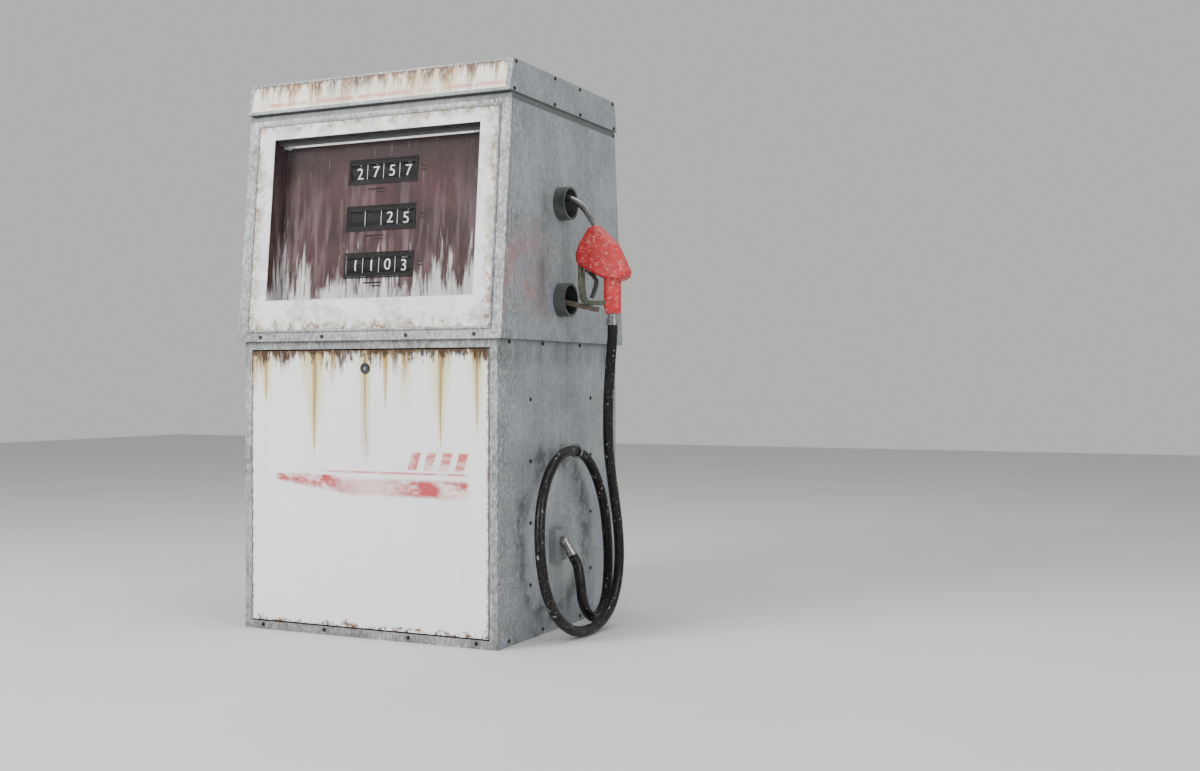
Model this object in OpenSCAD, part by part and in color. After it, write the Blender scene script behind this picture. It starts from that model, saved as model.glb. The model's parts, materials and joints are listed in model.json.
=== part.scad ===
// Free-standing fuel dispenser: a sheet metal cabinet that holds the pumping set,
// a leaning head with a mechanical register behind glass, a cap, and a nozzle on a hose.
// Frame: +X to the nozzle side, +Y to the back, +Z up, origin at the centre of the cabinet's foot.

/* [Cabinet] */
// Width of the lower cabinet
cab_w = 924; // [860:2:1120]
// Depth of the lower cabinet
cab_d = 844; // [760:2:1020]
// Height of the lower cabinet, up to the underside of the head
head_z = 916; // [900:1:1100]
// Height of the whole dispenser
total_h = 1750; // [1700:5:2100]
// Thickness of the sheet metal
sheet_t = 2.5; // [2:0.5:3]
// Height of the welded base frame
base_h = 24; // [20:1:24]
// Width of the base frame's bars
base_bar = 50; // [40:1:60]
// Distance from the cabinet's side to the anchor bolts
anchor_in = 82; // [75:1:95]
// Radius of the anchor bolt holes
anchor_r = 7; // [5:0.5:9]
// Side of the square tube that stiffens the side panels
rail_w = 40; // [30:1:50]
// Distance of the stiffening rails from the middle of the side
rail_y = 215; // [180:1:240]

/* [Door] */
// Width of the surround's upright beside the door opening
stile_w = 26; // [25:1:32]
// Height of the surround's strip below the door opening
sill_h = 26; // [25:1:28]
// Gap between the door and the surround
door_gap = 4; // [3:0.5:5]
// Depth of the door pan behind its face
door_depth = 20; // [16:1:20]
// Height of the lock above the floor
lock_z = 829; // [800:1:840]
// Radius of the lock barrel
lock_r = 11; // [8:1:12]

/* [Head] */
// How far the head stands out beyond the cabinet at each side
head_out_x = 20; // [10:1:25]
// How far the head stands out beyond the cabinet at front and back
head_out_y = 15; // [8:1:20]
// Width of the head front's outer flange at each side
flange_w = 40; // [34:1:45]
// Height of the window in the head
window_h = 522; // [500:1:560]
// Half width of the window
window_half = 380; // [330:1:400]
// Distance from the glass to the dial plate
recess = 55; // [50:1:62]
// Distance between two counters, one above the other
row_pitch = 149; // [140:1:160]
// Radius of a number wheel
wheel_r = 66; // [55:1:67]
// Width of a number wheel
wheel_w = 56; // [48:1:57]

/* [Cap] */
// Height of the cap
cap_h = 100; // [90:1:120]
// How far the cap's front leans back over its height
cap_lean = 22; // [10:1:26]

/* [Nozzle and hose] */
// Radius of the cups that the nozzle hangs in
cup_r = 53; // [50:1:58]
// Wall of the cups
cup_wall = 7; // [5:0.5:8]
// How far the cups stand out of the head
cup_out = 38; // [34:1:40]
// Radius of the nozzle's spout
spout_r = 11; // [10:0.5:12]
// Radius of the hose
hose_r = 16; // [12:0.5:16]

/* [Pumping set] */
// Radius of the motor's body
motor_r = 90; // [70:1:95]
// Radius of the pulley on the motor
motor_pulley_r = 50; // [35:1:60]
// Radius of the pulley on the pump
pump_pulley_r = 100; // [80:1:105]
// Distance between the motor's axis and the pump's axis
belt_span = 400; // [360:1:430]
// Outer radius of the pipes
pipe_r = 21; // [15:1:22]

/* [Hidden] */
$fn = 64;
eps = 0.01;
fit = 0.3;           // gap between parts that only lie beside each other
run = 0.05;          // radial clearance of a shaft that turns in its hole

side_x = cab_w / 2;
face_y = cab_d / 2;
in_x = side_x - sheet_t;
in_y = face_y - sheet_t;
head_x = side_x + head_out_x;
head_y = face_y + head_out_y;
cap_z = total_h - cap_h;
head_top = cap_z - 5;
head_rise = head_top - head_z;
head_lean = 5.33;    // the head's front and back lean inwards by this many degrees
top_y = head_y - head_rise * tan(head_lean);
cap_y = top_y + 15;
strip_z = cap_z - 22;

// screws
screw_r = 2.5;
screw_head_r = 5;
screw_head_h = 2.5;
screw_reach = sheet_t + 6;
side_rows = [for (i = [0 : 3]) 165 + i * (head_z - 182 - 165) / 3];
edge_ys = [133, 351];
cap_ys = [92, top_y - 12];
front_xs = [154, 391];
floor_screw_z = 17;
front_screw_z = 15;
flange_screw_v = 13;

// door
door_x = side_x - stile_w - door_gap;
door_bottom = sill_h + door_gap + 1;
door_top = head_z - 26 - door_gap;
door_face = -face_y - 1.5;
door_back = door_face + door_depth + 2;
hinge_y = -face_y + 10;
hinge_z = door_bottom + 11;
pin_r = 4;
top_rail = 20;
cam_y = -in_y + top_rail + 0.6;

// head front, measured along the slope from its bottom edge
face_len = head_rise / cos(head_lean);
flange_bottom = 34;
flange_top = 34;
bead_w = 5;
window_v = 130;
glass_t = 4;
surround_back = 2.5;
dial_w = -surround_back - glass_t - recess;
dial_t = 3;
counter_v = [for (i = [0 : 2]) window_v + 412 - i * row_pitch];
wheel_pitch = wheel_w + 4;
counter_w = 4 * wheel_pitch + 3;
counter_h = wheel_r + 5;
axle_w = dial_w - dial_t - 1.5 - wheel_r;
axle_r = 6;
ROWS = ["total", "volume", "price"];
PLACES = ["thousands", "hundreds", "tens", "units"];

// nozzle, in the plane y = hang_y
hang_y = -48;
cup_z = 1352;
rest_z = 1047;
cup_depth = 62;
nozzle_x = side_x + 201;
tip_z = cup_z + 20;
bend_r = 120;
bend_a = 56;
bend_x = side_x + 16;
spout_run = 86;
guard_bottom = 1029;
arm_pivot = [side_x + 20, rest_z - 4];
arm_drop = 13;
trigger_pivot = [nozzle_x - 85, 1136];
swivel_z = 999;
ferrule_z = 964.3;

// pumping set
shelf_z = 180;
shelf_t = 4;
axis_z = shelf_z + shelf_t + 110;
motor_x = -240;
pump_x = motor_x + belt_span;
belt_y = -77;
belt_w = 20;
belt_t = 6;
shaft_r = 10;
meter_y = -200;
meter_z = head_z - 146;
pot = 110;
riser_x = 330;
outlet_y = hang_y;
outlet_z = 284;
valve_z = 520;

// the hose's route, from the outlet's ferrule to the nozzle's ferrule
hose_path = [[526, -48, 238], [543, -48, 211], [558, -58, 158], [562, -52, 100], [562, -16, 56],
  [560, 38, 35], [557, 92, 44], [553, 138, 80], [549, 165, 140], [545, 178, 215], [539, 181, 295],
  [532, 172, 380], [523, 142, 465], [514, 86, 535], [510, 8, 567], [511, -75, 565],
  [516, -152, 540], [524, -222, 492], [532, -275, 422], [541, -305, 335], [551, -313, 242],
  [563, -301, 155], [577, -262, 82], [589, -192, 34], [596, -105, 17], [600, -8, 26],
  [602, 72, 66], [603, 120, 136], [603, 138, 225], [603, 127, 320], [607, 92, 412],
  [616, 45, 500], [627, 0, 595], [640, -30, 710], [654, -45, 840], [663, -48, 934],
  [663, -48, 964]];
hose_sides = 10;
outlet_fall = atan2(hose_path[0].z - hose_path[1].z, hose_path[1].x - hose_path[0].x);

// ---- helpers ----

// a cylinder that points along +Y from the origin
module along_y(r, h) { rotate([-90, 0, 0]) cylinder(r = r, h = h); }

// a cylinder that points along +X from the origin
module along_x(r, h) { rotate([0, 90, 0]) cylinder(r = r, h = h); }

// a block given by its lowest and highest corners
module block(low, high) { translate(low) cube(high - low); }

// local X along the front, local Y up its slope, local Z outwards
module on_face() { translate([0, -head_y, head_z]) rotate([90 - head_lean, 0, 0]) children(); }

module on_cap() {
  translate([0, -cap_y, cap_z]) rotate([90 - atan(cap_lean / cap_h), 0, 0]) children();
}

module at_back() { rotate([0, 0, 180]) children(); }

module both_sides() { for (s = [0, 1]) mirror([s, 0, 0]) children(); }

// a pipe along straight runs, with round corners
module pipe(points, r) {
  for (i = [0 : len(points) - 2]) {
    run_v = points[i + 1] - points[i];
    translate(points[i])
      if (run_v.x != 0) rotate([0, run_v.x > 0 ? 90 : -90, 0]) cylinder(r = r, h = norm(run_v));
      else if (run_v.y != 0) rotate([run_v.y > 0 ? -90 : 90, 0, 0]) cylinder(r = r, h = norm(run_v));
      else rotate([run_v.z > 0 ? 0 : 180, 0, 0]) cylinder(r = r, h = norm(run_v));
    if (i > 0) translate(points[i]) sphere(r = r);
  }
}

// one screw with its head on the plane z = 0, its shank along -Z
module screw(extra = 0) {
  if (extra == 0) cylinder(r = screw_head_r, h = screw_head_h);
  translate([0, 0, -screw_reach]) cylinder(r = screw_r + extra, h = screw_reach + extra);
}

module side_screws(extra = 0) {
  both_sides() {
    for (y = [-rail_y, rail_y], z = side_rows)
      translate([side_x, y, z]) rotate([0, 90, 0]) screw(extra);
    for (y = edge_ys, s = [-1, 1], z = [floor_screw_z, head_z - 9])
      translate([side_x, s * y, z]) rotate([0, 90, 0]) screw(extra);
  }
}

module front_screws(extra = 0) {
  for (x = front_xs, s = [-1, 1])
    translate([s * x, -face_y, front_screw_z]) rotate([90, 0, 0]) screw(extra);
}

module flange_screws(extra = 0) {
  on_face() for (x = front_xs, s = [-1, 1]) translate([s * x, flange_screw_v, 0]) screw(extra);
}

module cap_screws(extra = 0) {
  both_sides() for (y = cap_ys, s = [-1, 1], z = [cap_z + 9, total_h - 9])
    translate([head_x + 1.5, s * y * (z > cap_z + 20 ? 0.97 : 1), z]) rotate([0, 90, 0]) screw(extra);
}

// ---- cabinet ----

module base_frame() color("dimgray") difference() {
  union() {
    difference() {
      block([-in_x, -in_y, 0], [in_x, in_y, base_h]);
      block([-in_x + base_bar, -in_y + base_bar, -1], [in_x - base_bar, in_y - base_bar, base_h + 1]);
    }
    both_sides() for (s = [0, 1]) mirror([0, s, 0])
      block([side_x - anchor_in - 32, face_y - anchor_in - 32, 0],
        [in_x - base_bar + 2, in_y - base_bar + 2, 6]);
  }
  for (x = [-1, 1], y = [-1, 1])
    translate([x * (side_x - anchor_in), y * (face_y - anchor_in), -1]) cylinder(r = anchor_r, h = 8);
  side_screws(0.1);
  front_screws(0.1);
  at_back() front_screws(0.1);
}

module corner_post() {
  block([in_x - 4, in_y - rail_w, base_h], [in_x, in_y, head_z - 24]);
  block([side_x - stile_w + 3.5, in_y - 4, base_h], [in_x, in_y, head_z - 24]);
}

module corner_frame() color("gray") difference() {
  union() {
    difference() {
      block([-in_x, -in_y, head_z - 24], [in_x, in_y, head_z]);
      block([-in_x + top_rail, -in_y + top_rail, head_z - 25], [in_x - top_rail, in_y - top_rail, head_z + 1]);
    }
    both_sides() for (s = [0, 1]) mirror([0, s, 0]) {
      corner_post();
      block([in_x - 20, rail_y - rail_w / 2, base_h], [in_x, rail_y + rail_w / 2, head_z - 24 + eps]);
    }
  }
  side_screws(0.1);
}

module left_side_panel() color("lightslategray") difference() {
  block([-side_x, -in_y, 0], [-in_x, in_y, head_z]);
  side_screws(0.1);
}

module right_side_panel() color("lightslategray") difference() {
  block([in_x, -in_y, 0], [side_x, in_y, head_z]);
  side_screws(0.1);
  translate([in_x - 1, outlet_y, outlet_z]) along_x(pipe_r - 5, sheet_t + 2);
}

module louvre() {
  rotate([90, 0, 90]) linear_extrude(150, center = true)
    polygon([[0, 0], [9, -14], [9, -15.5], [7.5, -15.5], [0, -3]]);
}

module rear_panel() color("lightslategray") {
  difference() {
    block([-side_x, in_y, 0], [side_x, face_y, head_z]);
    for (x = [-180, 180], i = [0 : 5])
      block([x - 70, in_y - 1, 240 + 30 * i], [x + 70, face_y + 1, 248 + 30 * i]);
    at_back() front_screws(0.1);
  }
  for (x = [-180, 180], i = [0 : 5]) translate([x, face_y - eps, 258 + 30 * i]) louvre();
}

module front_surround() color("darkgray") {
  difference() {
    block([-side_x, -face_y, 0], [side_x, -in_y, head_z]);
    block([-side_x + stile_w, -face_y - 1, sill_h], [side_x - stile_w, -in_y + 1, head_z - 26]);
    front_screws(0.1);
  }
  both_sides() difference() {
    block([side_x - stile_w, -in_y - eps, sill_h], [side_x - stile_w + 3.2, hinge_y + 12, hinge_z + 16]);
    translate([side_x - stile_w - 1, hinge_y, hinge_z]) along_x(pin_r + run, 6);
  }
}

module front_door() color("ivory") {
  difference() {
    block([-door_x, door_face, door_bottom], [door_x, door_back, door_top]);
    block([-door_x + 2, door_face + 2, door_bottom + 2], [door_x - 2, door_back + 1, door_top - 2]);
    translate([0, door_face - 1, lock_z]) along_y(lock_r + 0.1, 4);
  }
  both_sides() translate([door_x - 4, hinge_y, hinge_z]) along_x(pin_r, door_gap + 3.2 + 4);
}

module lock_barrel() color("black") difference() {
  union() {
    translate([0, door_face - 3, lock_z]) along_y(lock_r + 6, 3);
    translate([0, door_face, lock_z]) along_y(lock_r, cam_y - door_face - 0.4);
  }
  translate([0, door_face - 4, lock_z]) along_y(6 + run, 60);
}

module lock_plug() color("silver") {
  difference() {
    translate([0, door_face - 3.5, lock_z]) along_y(6, cam_y - door_face + 3.5 + 3);
    block([-1, door_face - 4, lock_z - 4], [1, door_face - 1.5, lock_z + 4]);
  }
  block([0, cam_y, lock_z - 8], [head_z - lock_z - 12, cam_y + 3, lock_z + 8]);
}

// ---- pumping set ----

module equipment_shelf() color("slategray") difference() {
  union() {
    block([-in_x + 20, -rail_y - 25, shelf_z], [in_x - 20, rail_y + 25, shelf_z + shelf_t]);
    both_sides() block([in_x - 23, -rail_y - 25, shelf_z - 30], [in_x - 20, rail_y + 25, shelf_z + 1]);
  }
  translate([pump_x + 150, 40, shelf_z - 1]) cylinder(r = pipe_r + 6, h = shelf_t + 2);
}

module electric_motor() color("steelblue") difference() {
  union() {
    translate([motor_x, -40, axis_z]) along_y(motor_r, 230);
    translate([motor_x, 190, axis_z]) along_y(motor_r - 12, 34);
    translate([motor_x, -58, axis_z]) along_y(motor_r - 45, 20);
    block([motor_x - 80, -20, shelf_z + shelf_t], [motor_x + 80, 160, axis_z - 60]);
    block([motor_x - 45, 20, axis_z + motor_r - 15], [motor_x + 45, 120, axis_z + motor_r + 45]);
  }
  translate([motor_x, -59, axis_z]) along_y(shaft_r + run, 80);
}

module pump_unit() color("darkslategray") difference() {
  union() {
    translate([pump_x, -20, axis_z]) along_y(80, 120);
    translate([pump_x, -44, axis_z]) along_y(40, 26);
    block([pump_x - 60, -10, shelf_z + shelf_t], [pump_x + 60, 150, axis_z - 20]);
    block([pump_x - 55, 90, axis_z - 60], [pump_x + 55, 150, axis_z + 40]);
    translate([pump_x, 190, shelf_z + shelf_t]) cylinder(r = 65, h = 280);
    translate([pump_x, 190, shelf_z + shelf_t + 280]) cylinder(r = 72, h = 16);
    translate([pump_x + 60, 40, axis_z]) along_x(40, 30);
  }
  translate([pump_x, -45, axis_z]) along_y(shaft_r + run, 80);
}

module flow_meter() color("gray") difference() {
  union() {
    translate([0, meter_y, meter_z - 50]) cylinder(r = 66, h = 110);
    translate([-pot, meter_y, meter_z]) along_x(44, 2 * pot);
    translate([0, meter_y - pot, meter_z]) along_y(44, 2 * pot);
    for (x = [-40, 40], y = [-40, 40])
      translate([x, meter_y + y, meter_z + 55]) cylinder(r = 8, h = head_z - meter_z - 60);
    block([-95, meter_y - 95, head_z - 8], [95, meter_y + 95, head_z]);
  }
  translate([0, meter_y, meter_z + 20]) cylinder(r = axle_r + run, h = 200);
}

module meter_shaft() color("silver") {
  translate([0, meter_y, meter_z + 25]) cylinder(r = axle_r, h = head_z - meter_z + 120);
  translate([0, meter_y, meter_z + 72]) cylinder(r = 16, h = 24);
}

module solenoid_valve() color("firebrick") {
  translate([riser_x, meter_y, valve_z - 40]) cylinder(r = 32, h = 80);
  translate([riser_x + 25, meter_y, valve_z]) along_x(20, 50);
}

module suction_pipe() color("dimgray") difference() {
  pipe([[pump_x + 150, 40, 4], [pump_x + 150, 40, axis_z], [pump_x + 90, 40, axis_z]], pipe_r + 3);
  translate([pump_x + 150, 40, 3]) cylinder(r = pipe_r - 1, h = 81);
}

module discharge_pipes() color("dimgray") {
  tank_top = shelf_z + shelf_t + 296;
  pipe([[pump_x, 190, tank_top], [pump_x, 190, meter_z], [0, 190, meter_z],
    [0, meter_y + pot, meter_z]], pipe_r);
  pipe([[pot, meter_y, meter_z], [riser_x, meter_y, meter_z], [riser_x, meter_y, valve_z + 40]], pipe_r);
  pipe([[riser_x, meter_y, valve_z - 40], [riser_x, meter_y, outlet_z], [riser_x, outlet_y, outlet_z],
    [in_x - 6, outlet_y, outlet_z]], pipe_r);
}

// a slab round two circles on the X axis, the first at the origin
module round_two(r1, r2, span, w) {
  a = acos((r1 - r2) / span);
  p = r1 - 0.02;
  q = r2 - 0.02;
  cylinder(r = r1, h = w);
  translate([span, 0, 0]) cylinder(r = r2, h = w);
  linear_extrude(w) polygon([[p * cos(a), p * sin(a)], [span + q * cos(a), q * sin(a)],
    [span + q * cos(a), -q * sin(a)], [p * cos(a), -p * sin(a)]]);
}

module drive_belt() color("black")
  translate([motor_x, belt_y + belt_w / 2, axis_z]) rotate([90, 0, 0]) difference() {
    round_two(motor_pulley_r + fit + belt_t, pump_pulley_r + fit + belt_t, belt_span, belt_w);
    translate([0, 0, -1]) round_two(motor_pulley_r + fit, pump_pulley_r + fit, belt_span, belt_w + 2);
  }

module pulley(r, bore_start) {
  translate([0, belt_y - 13, 0]) along_y(r, 26);
  for (y = [belt_y - 16, belt_y + 13]) translate([0, y, 0]) along_y(r + 4, 3);
  translate([0, belt_y - 24, 0]) along_y(24, 10);
  translate([0, belt_y - 10, 0]) along_y(shaft_r, bore_start);
}

module motor_pulley() color("silver") translate([motor_x, 0, axis_z]) pulley(motor_pulley_r, 95);

module pump_pulley() color("silver") translate([pump_x, 0, axis_z]) difference() {
  pulley(pump_pulley_r, 100);
  for (a = [0 : 60 : 300]) rotate([0, a, 0])
    translate([pump_pulley_r * 0.6, belt_y - 30, 0]) along_y(pump_pulley_r * 0.2, 60);
}

// ---- head ----

module head_floor() color("gray") difference() {
  union() {
    block([-head_x + sheet_t, -head_y + sheet_t + 2, head_z], [head_x - sheet_t, head_y - sheet_t - 2, head_z + 3]);
    for (s = [0, 180]) rotate([0, 0, s]) on_face()
      block([-head_x + sheet_t + 1, 1, -sheet_t - 3], [head_x - sheet_t - 1, 26, -sheet_t]);
  }
  flange_screws(0.1);
  at_back() flange_screws(0.1);
  translate([0, meter_y, head_z - 1]) cylinder(r = 13, h = 5);
}

// the head's side outline in the plane of the side, inset by d from the sloping edges
module head_side(d, top) {
  e = d / cos(head_lean);
  y0 = head_y - e;
  y1 = head_y - e - (top - head_z) * tan(head_lean);
  polygon([[-y0, head_z], [y0, head_z], [y1, top], [-y1, top]]);
}

module side_plate() {
  translate([head_x - sheet_t, 0, 0]) rotate([90, 0, 90]) linear_extrude(sheet_t) head_side(sheet_t, strip_z);
}

module head_left_panel() color("lightslategray") mirror([1, 0, 0]) side_plate();

module head_right_panel() color("lightslategray") difference() {
  side_plate();
  for (z = [cup_z, rest_z]) translate([head_x - sheet_t - 1, hang_y, z]) along_x(cup_r + 0.2, sheet_t + 2);
}

module head_rear_panel() color("lightslategray") at_back() difference() {
  on_face() {
    block([-head_x, 0, -sheet_t], [head_x, face_len, 0]);
    for (x = [-250, 250]) block([x - 3, 90, -eps], [x + 3, face_len - 90, 2.5]);
  }
  flange_screws(0.1);
}

module head_front_frame() color("darkgray") difference() {
  inner = head_x - flange_w;
  on_face() {
    difference() {
      block([-head_x, 0, -sheet_t], [head_x, face_len, 0]);
      block([-inner, flange_bottom, -sheet_t - 1], [inner, face_len - flange_top, 1]);
    }
    difference() {
      block([-inner - bead_w, flange_bottom - bead_w, -eps],
        [inner + bead_w, face_len - flange_top + bead_w, 3.5]);
      block([-inner, flange_bottom, -1], [inner, face_len - flange_top, 4]);
    }
  }
  flange_screws(0.1);
}

module display_surround() color("whitesmoke") on_face() difference() {
  inner = head_x - flange_w - fit;
  block([-inner, flange_bottom + fit, -surround_back], [inner, face_len - flange_top - fit, 0.5]);
  block([-window_half, window_v, -surround_back - 1], [window_half, window_v + window_h, 1]);
}

module display_glass() color("lightcyan", 0.35) on_face()
  block([-window_half - 15, window_v - 15, -surround_back - glass_t],
    [window_half + 15, window_v + window_h + 15, -surround_back]);

module display_box() color("saddlebrown") on_face() {
  back = -surround_back - glass_t;
  top = window_v + window_h + 2;
  difference() {
    block([-window_half - 6, window_v - 4, dial_w], [window_half + 6, top + 2, back]);
    block([-window_half - 4, window_v - 2, dial_w - 1], [window_half + 4, top, back + 1]);
  }
  block([-window_half - 4 - eps, top - 18, -31.5], [window_half + 4 + eps, top + eps, -30]);
}

module dial_plate() color("maroon") on_face() difference() {
  block([-window_half - 6, window_v - 4, dial_w - dial_t], [window_half + 6, window_v + window_h + 4, dial_w]);
  for (v = counter_v)
    block([-counter_w / 2, v - counter_h / 2, dial_w - dial_t - 1], [counter_w / 2, v + counter_h / 2, dial_w + 1]);
}

lamp_v = window_v + window_h - 9;
lamp_w = -48;
lamp_half = window_half - 23;

module lamp_tube() color("white") on_face() translate([-lamp_half, lamp_v, lamp_w]) along_x(8, 2 * lamp_half);

module lamp_holders() color("lightgray") on_face() both_sides()
  block([lamp_half, lamp_v - 11, lamp_w - 11], [lamp_half + 14, lamp_v + 11, lamp_w + 11]);

module register_frame() color("gray") on_face() {
  half = 2 * wheel_pitch + 4;
  low = counter_v[2] - wheel_r - 10;
  high = counter_v[0] + wheel_r + 10;
  for (u = [-half - 3, half]) block([u, low, axle_w - 72], [u + 3, high, dial_w - dial_t]);
  for (v = counter_v) translate([-half - 1, v, axle_w]) along_x(axle_r, 2 * half + 2);
  for (v = [low + 8, high - 8]) translate([-half - 1, v, axle_w - 62]) along_x(5, 2 * half + 2);
  block([-half - 1, counter_v[1] - 40, axle_w - 72], [half + 1, counter_v[1] + 40, axle_w - 69.5]);
}

// row 0 to 2 from the top, place 0 to 3 from the left
module number_wheel(row, place) color("black") on_face()
  translate([(place - 1.5) * wheel_pitch, counter_v[row], axle_w]) rotate([0, 90, 0])
    rotate_extrude() polygon([[axle_r + run, -wheel_w / 2 - 1.5], [11, -wheel_w / 2 - 1.5], [11, -2],
      [wheel_r - 3, -2], [wheel_r - 3, -wheel_w / 2], [wheel_r, -wheel_w / 2], [wheel_r, wheel_w / 2],
      [wheel_r - 3, wheel_w / 2], [wheel_r - 3, 2], [11, 2], [11, wheel_w / 2 + 1.5],
      [axle_r + run, wheel_w / 2 + 1.5]]);

// ---- cap ----

module cap_side(d) {
  y0 = cap_y - d;
  y1 = cap_y - cap_lean - d;
  polygon([[-y0, cap_z + d], [y0, cap_z + d], [y1, total_h - d], [-y1, total_h - d]]);
}

module cap_shell() color("lightslategray") difference() {
  skirt_x = head_x + 1.5;
  collar_x = head_x - 4;
  collar_y = top_y - sheet_t - 1;
  union() {
    difference() {
      rotate([90, 0, 90]) linear_extrude(2 * skirt_x, center = true) cap_side(0);
      rotate([90, 0, 90]) linear_extrude(2 * (skirt_x - sheet_t), center = true) cap_side(sheet_t);
      block([-collar_x + 1, -collar_y + 1, cap_z - 1], [collar_x - 1, collar_y - 1, cap_z + 4]);
    }
    difference() {
      block([-collar_x, -collar_y, strip_z + fit], [collar_x, collar_y, cap_z + 20]);
      block([-collar_x + sheet_t, -collar_y + sheet_t, strip_z - 1],
        [collar_x - sheet_t, collar_y - sheet_t, cap_z + 21]);
    }
  }
  cap_screws(0.1);
}

module cap_fascia() color("cornsilk") on_cap()
  block([-head_x + 14, 10, 0.02], [head_x - 14, cap_h - 4, 1.5]);

module panel_screws() color("black") {
  side_screws();
  front_screws();
  at_back() front_screws();
  flange_screws();
  at_back() flange_screws();
  cap_screws();
}

// ---- cups and nozzle ----

module cup(z) translate([0, hang_y, z]) difference() {
  union() {
    translate([head_x - cup_depth, 0, 0]) along_x(cup_r, cup_depth + cup_out);
    translate([head_x - sheet_t - 4, 0, 0]) along_x(cup_r + 9, 4);
  }
  translate([head_x - cup_depth + 3, 0, 0]) along_x(cup_r - cup_wall, cup_depth + cup_out);
}

module spout_cup() color("darkslategray") cup(cup_z);

module rest_cup() color("darkslategray") {
  cup(rest_z);
  for (y = [-18, 14]) difference() {
    block([head_x - cup_depth + 2, hang_y + y, arm_pivot[1] - 11], [arm_pivot[0] + 9, hang_y + y + 4, arm_pivot[1] + 11]);
    translate([arm_pivot[0], hang_y + y - 1, arm_pivot[1]]) along_y(5 + run, 6);
  }
}

module rest_lever() color("sienna") translate([arm_pivot[0], hang_y, arm_pivot[1]]) {
  translate([0, -18, 0]) along_y(5, 36);
  translate([0, -13.5, 0]) along_y(10, 27);
  rotate([0, arm_drop, 0]) block([3, -12, -7], [head_x + 134 - arm_pivot[0], 12, 8]);
}

// along the straight part of the spout, from the end of its bend
module on_spout_end() {
  translate([bend_x + bend_r * sin(bend_a), hang_y, tip_z - bend_r * (1 - cos(bend_a))])
    rotate([0, 90 + bend_a, 0]) children();
}

// the metal body under the cover
module nozzle_core(extra = 0) {
  translate([nozzle_x, hang_y, swivel_z + 0.3]) cylinder(r = 14 + extra, h = 120);
  translate([nozzle_x - 12, hang_y, 1112 - extra]) cylinder(r = 24 + extra, h = 66 + 2 * extra);
  on_spout_end() translate([0, 0, spout_run - extra]) cylinder(r = 15 + extra, h = 78 + 2 * extra);
  block([nozzle_x - 102.5 - extra, hang_y - 12 - extra, 1153 - extra], [nozzle_x - 20, hang_y + 12 + extra, 1166 + extra]);
}

module trigger_ears() {
  for (y = [-15, 11]) block([trigger_pivot[0] - 8, hang_y + y, trigger_pivot[1] - 8],
    [trigger_pivot[0] + 8, hang_y + y + 4, 1160]);
}

module nozzle_body() color("silver") difference() {
  union() {
    nozzle_core();
    trigger_ears();
  }
  translate([nozzle_x, hang_y, swivel_z - 1]) cylinder(r = shaft_r + run, h = 24);
  translate([trigger_pivot[0], hang_y - 16, trigger_pivot[1]]) along_y(pin_r + run, 32);
}

module guard_profile() {
  x = nozzle_x;
  polygon([[x - 114, 1166], [x - 112, 1100], [x - 107, 1050], [x - 97, 1034], [x - 83, guard_bottom],
    [x - 14.3, guard_bottom], [x - 14.3, 1041], [x - 79, 1042], [x - 91, 1047], [x - 97, 1056],
    [x - 101, 1100], [x - 103, 1166]]);
}

module nozzle_guard() color("darkolivegreen") difference() {
  translate([0, hang_y + 17, 0]) rotate([90, 0, 0]) linear_extrude(34) guard_profile();
  translate([nozzle_x, hang_y, 1000]) cylinder(r = 14 + fit, h = 60);
}

// outline of the cover's head at half width w, drawn in by d
module cover_slice(w, d) {
  x = nozzle_x;
  translate([0, hang_y + w, 0]) rotate([90, 0, 0]) linear_extrude(2 * w)
    polygon([[x - 76 + d / 2, 1266], [x - 49, 1279 - d / 2], [x + 17 - d / 2, 1216 - d / 2],
      [x + 59 - d, 1130], [x + 54 - d, 1112 + d / 2], [x + 34 - d / 2, 1101 + d / 3],
      [x - 31, 1112 + d / 2], [x - 110 + d, 1153 + d], [x - 119 + d, 1166 + d / 2], [x - 121 + d, 1190],
      [x - 106 + d / 2, 1222]]);
}

module cover_handle() {
  for (s = [-7, 7]) translate([nozzle_x + s, hang_y, 1022]) cylinder(r = 21, h = 92, $fn = 32);
  for (s = [-4, 9]) translate([nozzle_x + s, hang_y, 1000]) cylinder(r = 18, h = 4, $fn = 32);
}

module nozzle_cover() color("red") difference() {
  union() {
    hull() {
      cover_slice(17, 0);
      cover_slice(33, 13);
    }
    hull() cover_handle();
  }
  nozzle_core(0.2);
  on_spout_end() cylinder(r = spout_r + fit, h = spout_run + 1);
  block([trigger_pivot[0] - 8.3, hang_y - 15.3, 1100], [trigger_pivot[0] + 8.3, hang_y + 15.3, 1160.3]);
  block([trigger_pivot[0], hang_y - 12, 1100], [trigger_pivot[0] + 48, hang_y + 12, 1146]);
  block([nozzle_x - 114.5, hang_y - 17.3, 1100], [nozzle_x - 100.5, hang_y + 17.3, 1166.3]);
  block([nozzle_x - 60, hang_y - 17.3, guard_bottom - 0.3], [nozzle_x, hang_y + 17.3, 1042.3]);
}

module nozzle_spout() color("gray") difference() {
  union() {
    translate([bend_x - 24, hang_y, tip_z]) along_x(spout_r, 24);
    translate([bend_x - 2, hang_y, tip_z]) along_x(spout_r + 0.5, 4);
    translate([bend_x, hang_y, tip_z - bend_r]) rotate([90, 0, 0]) rotate([0, 0, 90 - bend_a])
      rotate_extrude(angle = bend_a) translate([bend_r, 0]) circle(r = spout_r);
    on_spout_end() cylinder(r = spout_r, h = spout_run);
    on_spout_end() translate([0, 0, -2]) cylinder(r = spout_r + 0.5, h = 4);
  }
  translate([bend_x - 25, hang_y, tip_z]) along_x(spout_r - 2, 26);
}

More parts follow.
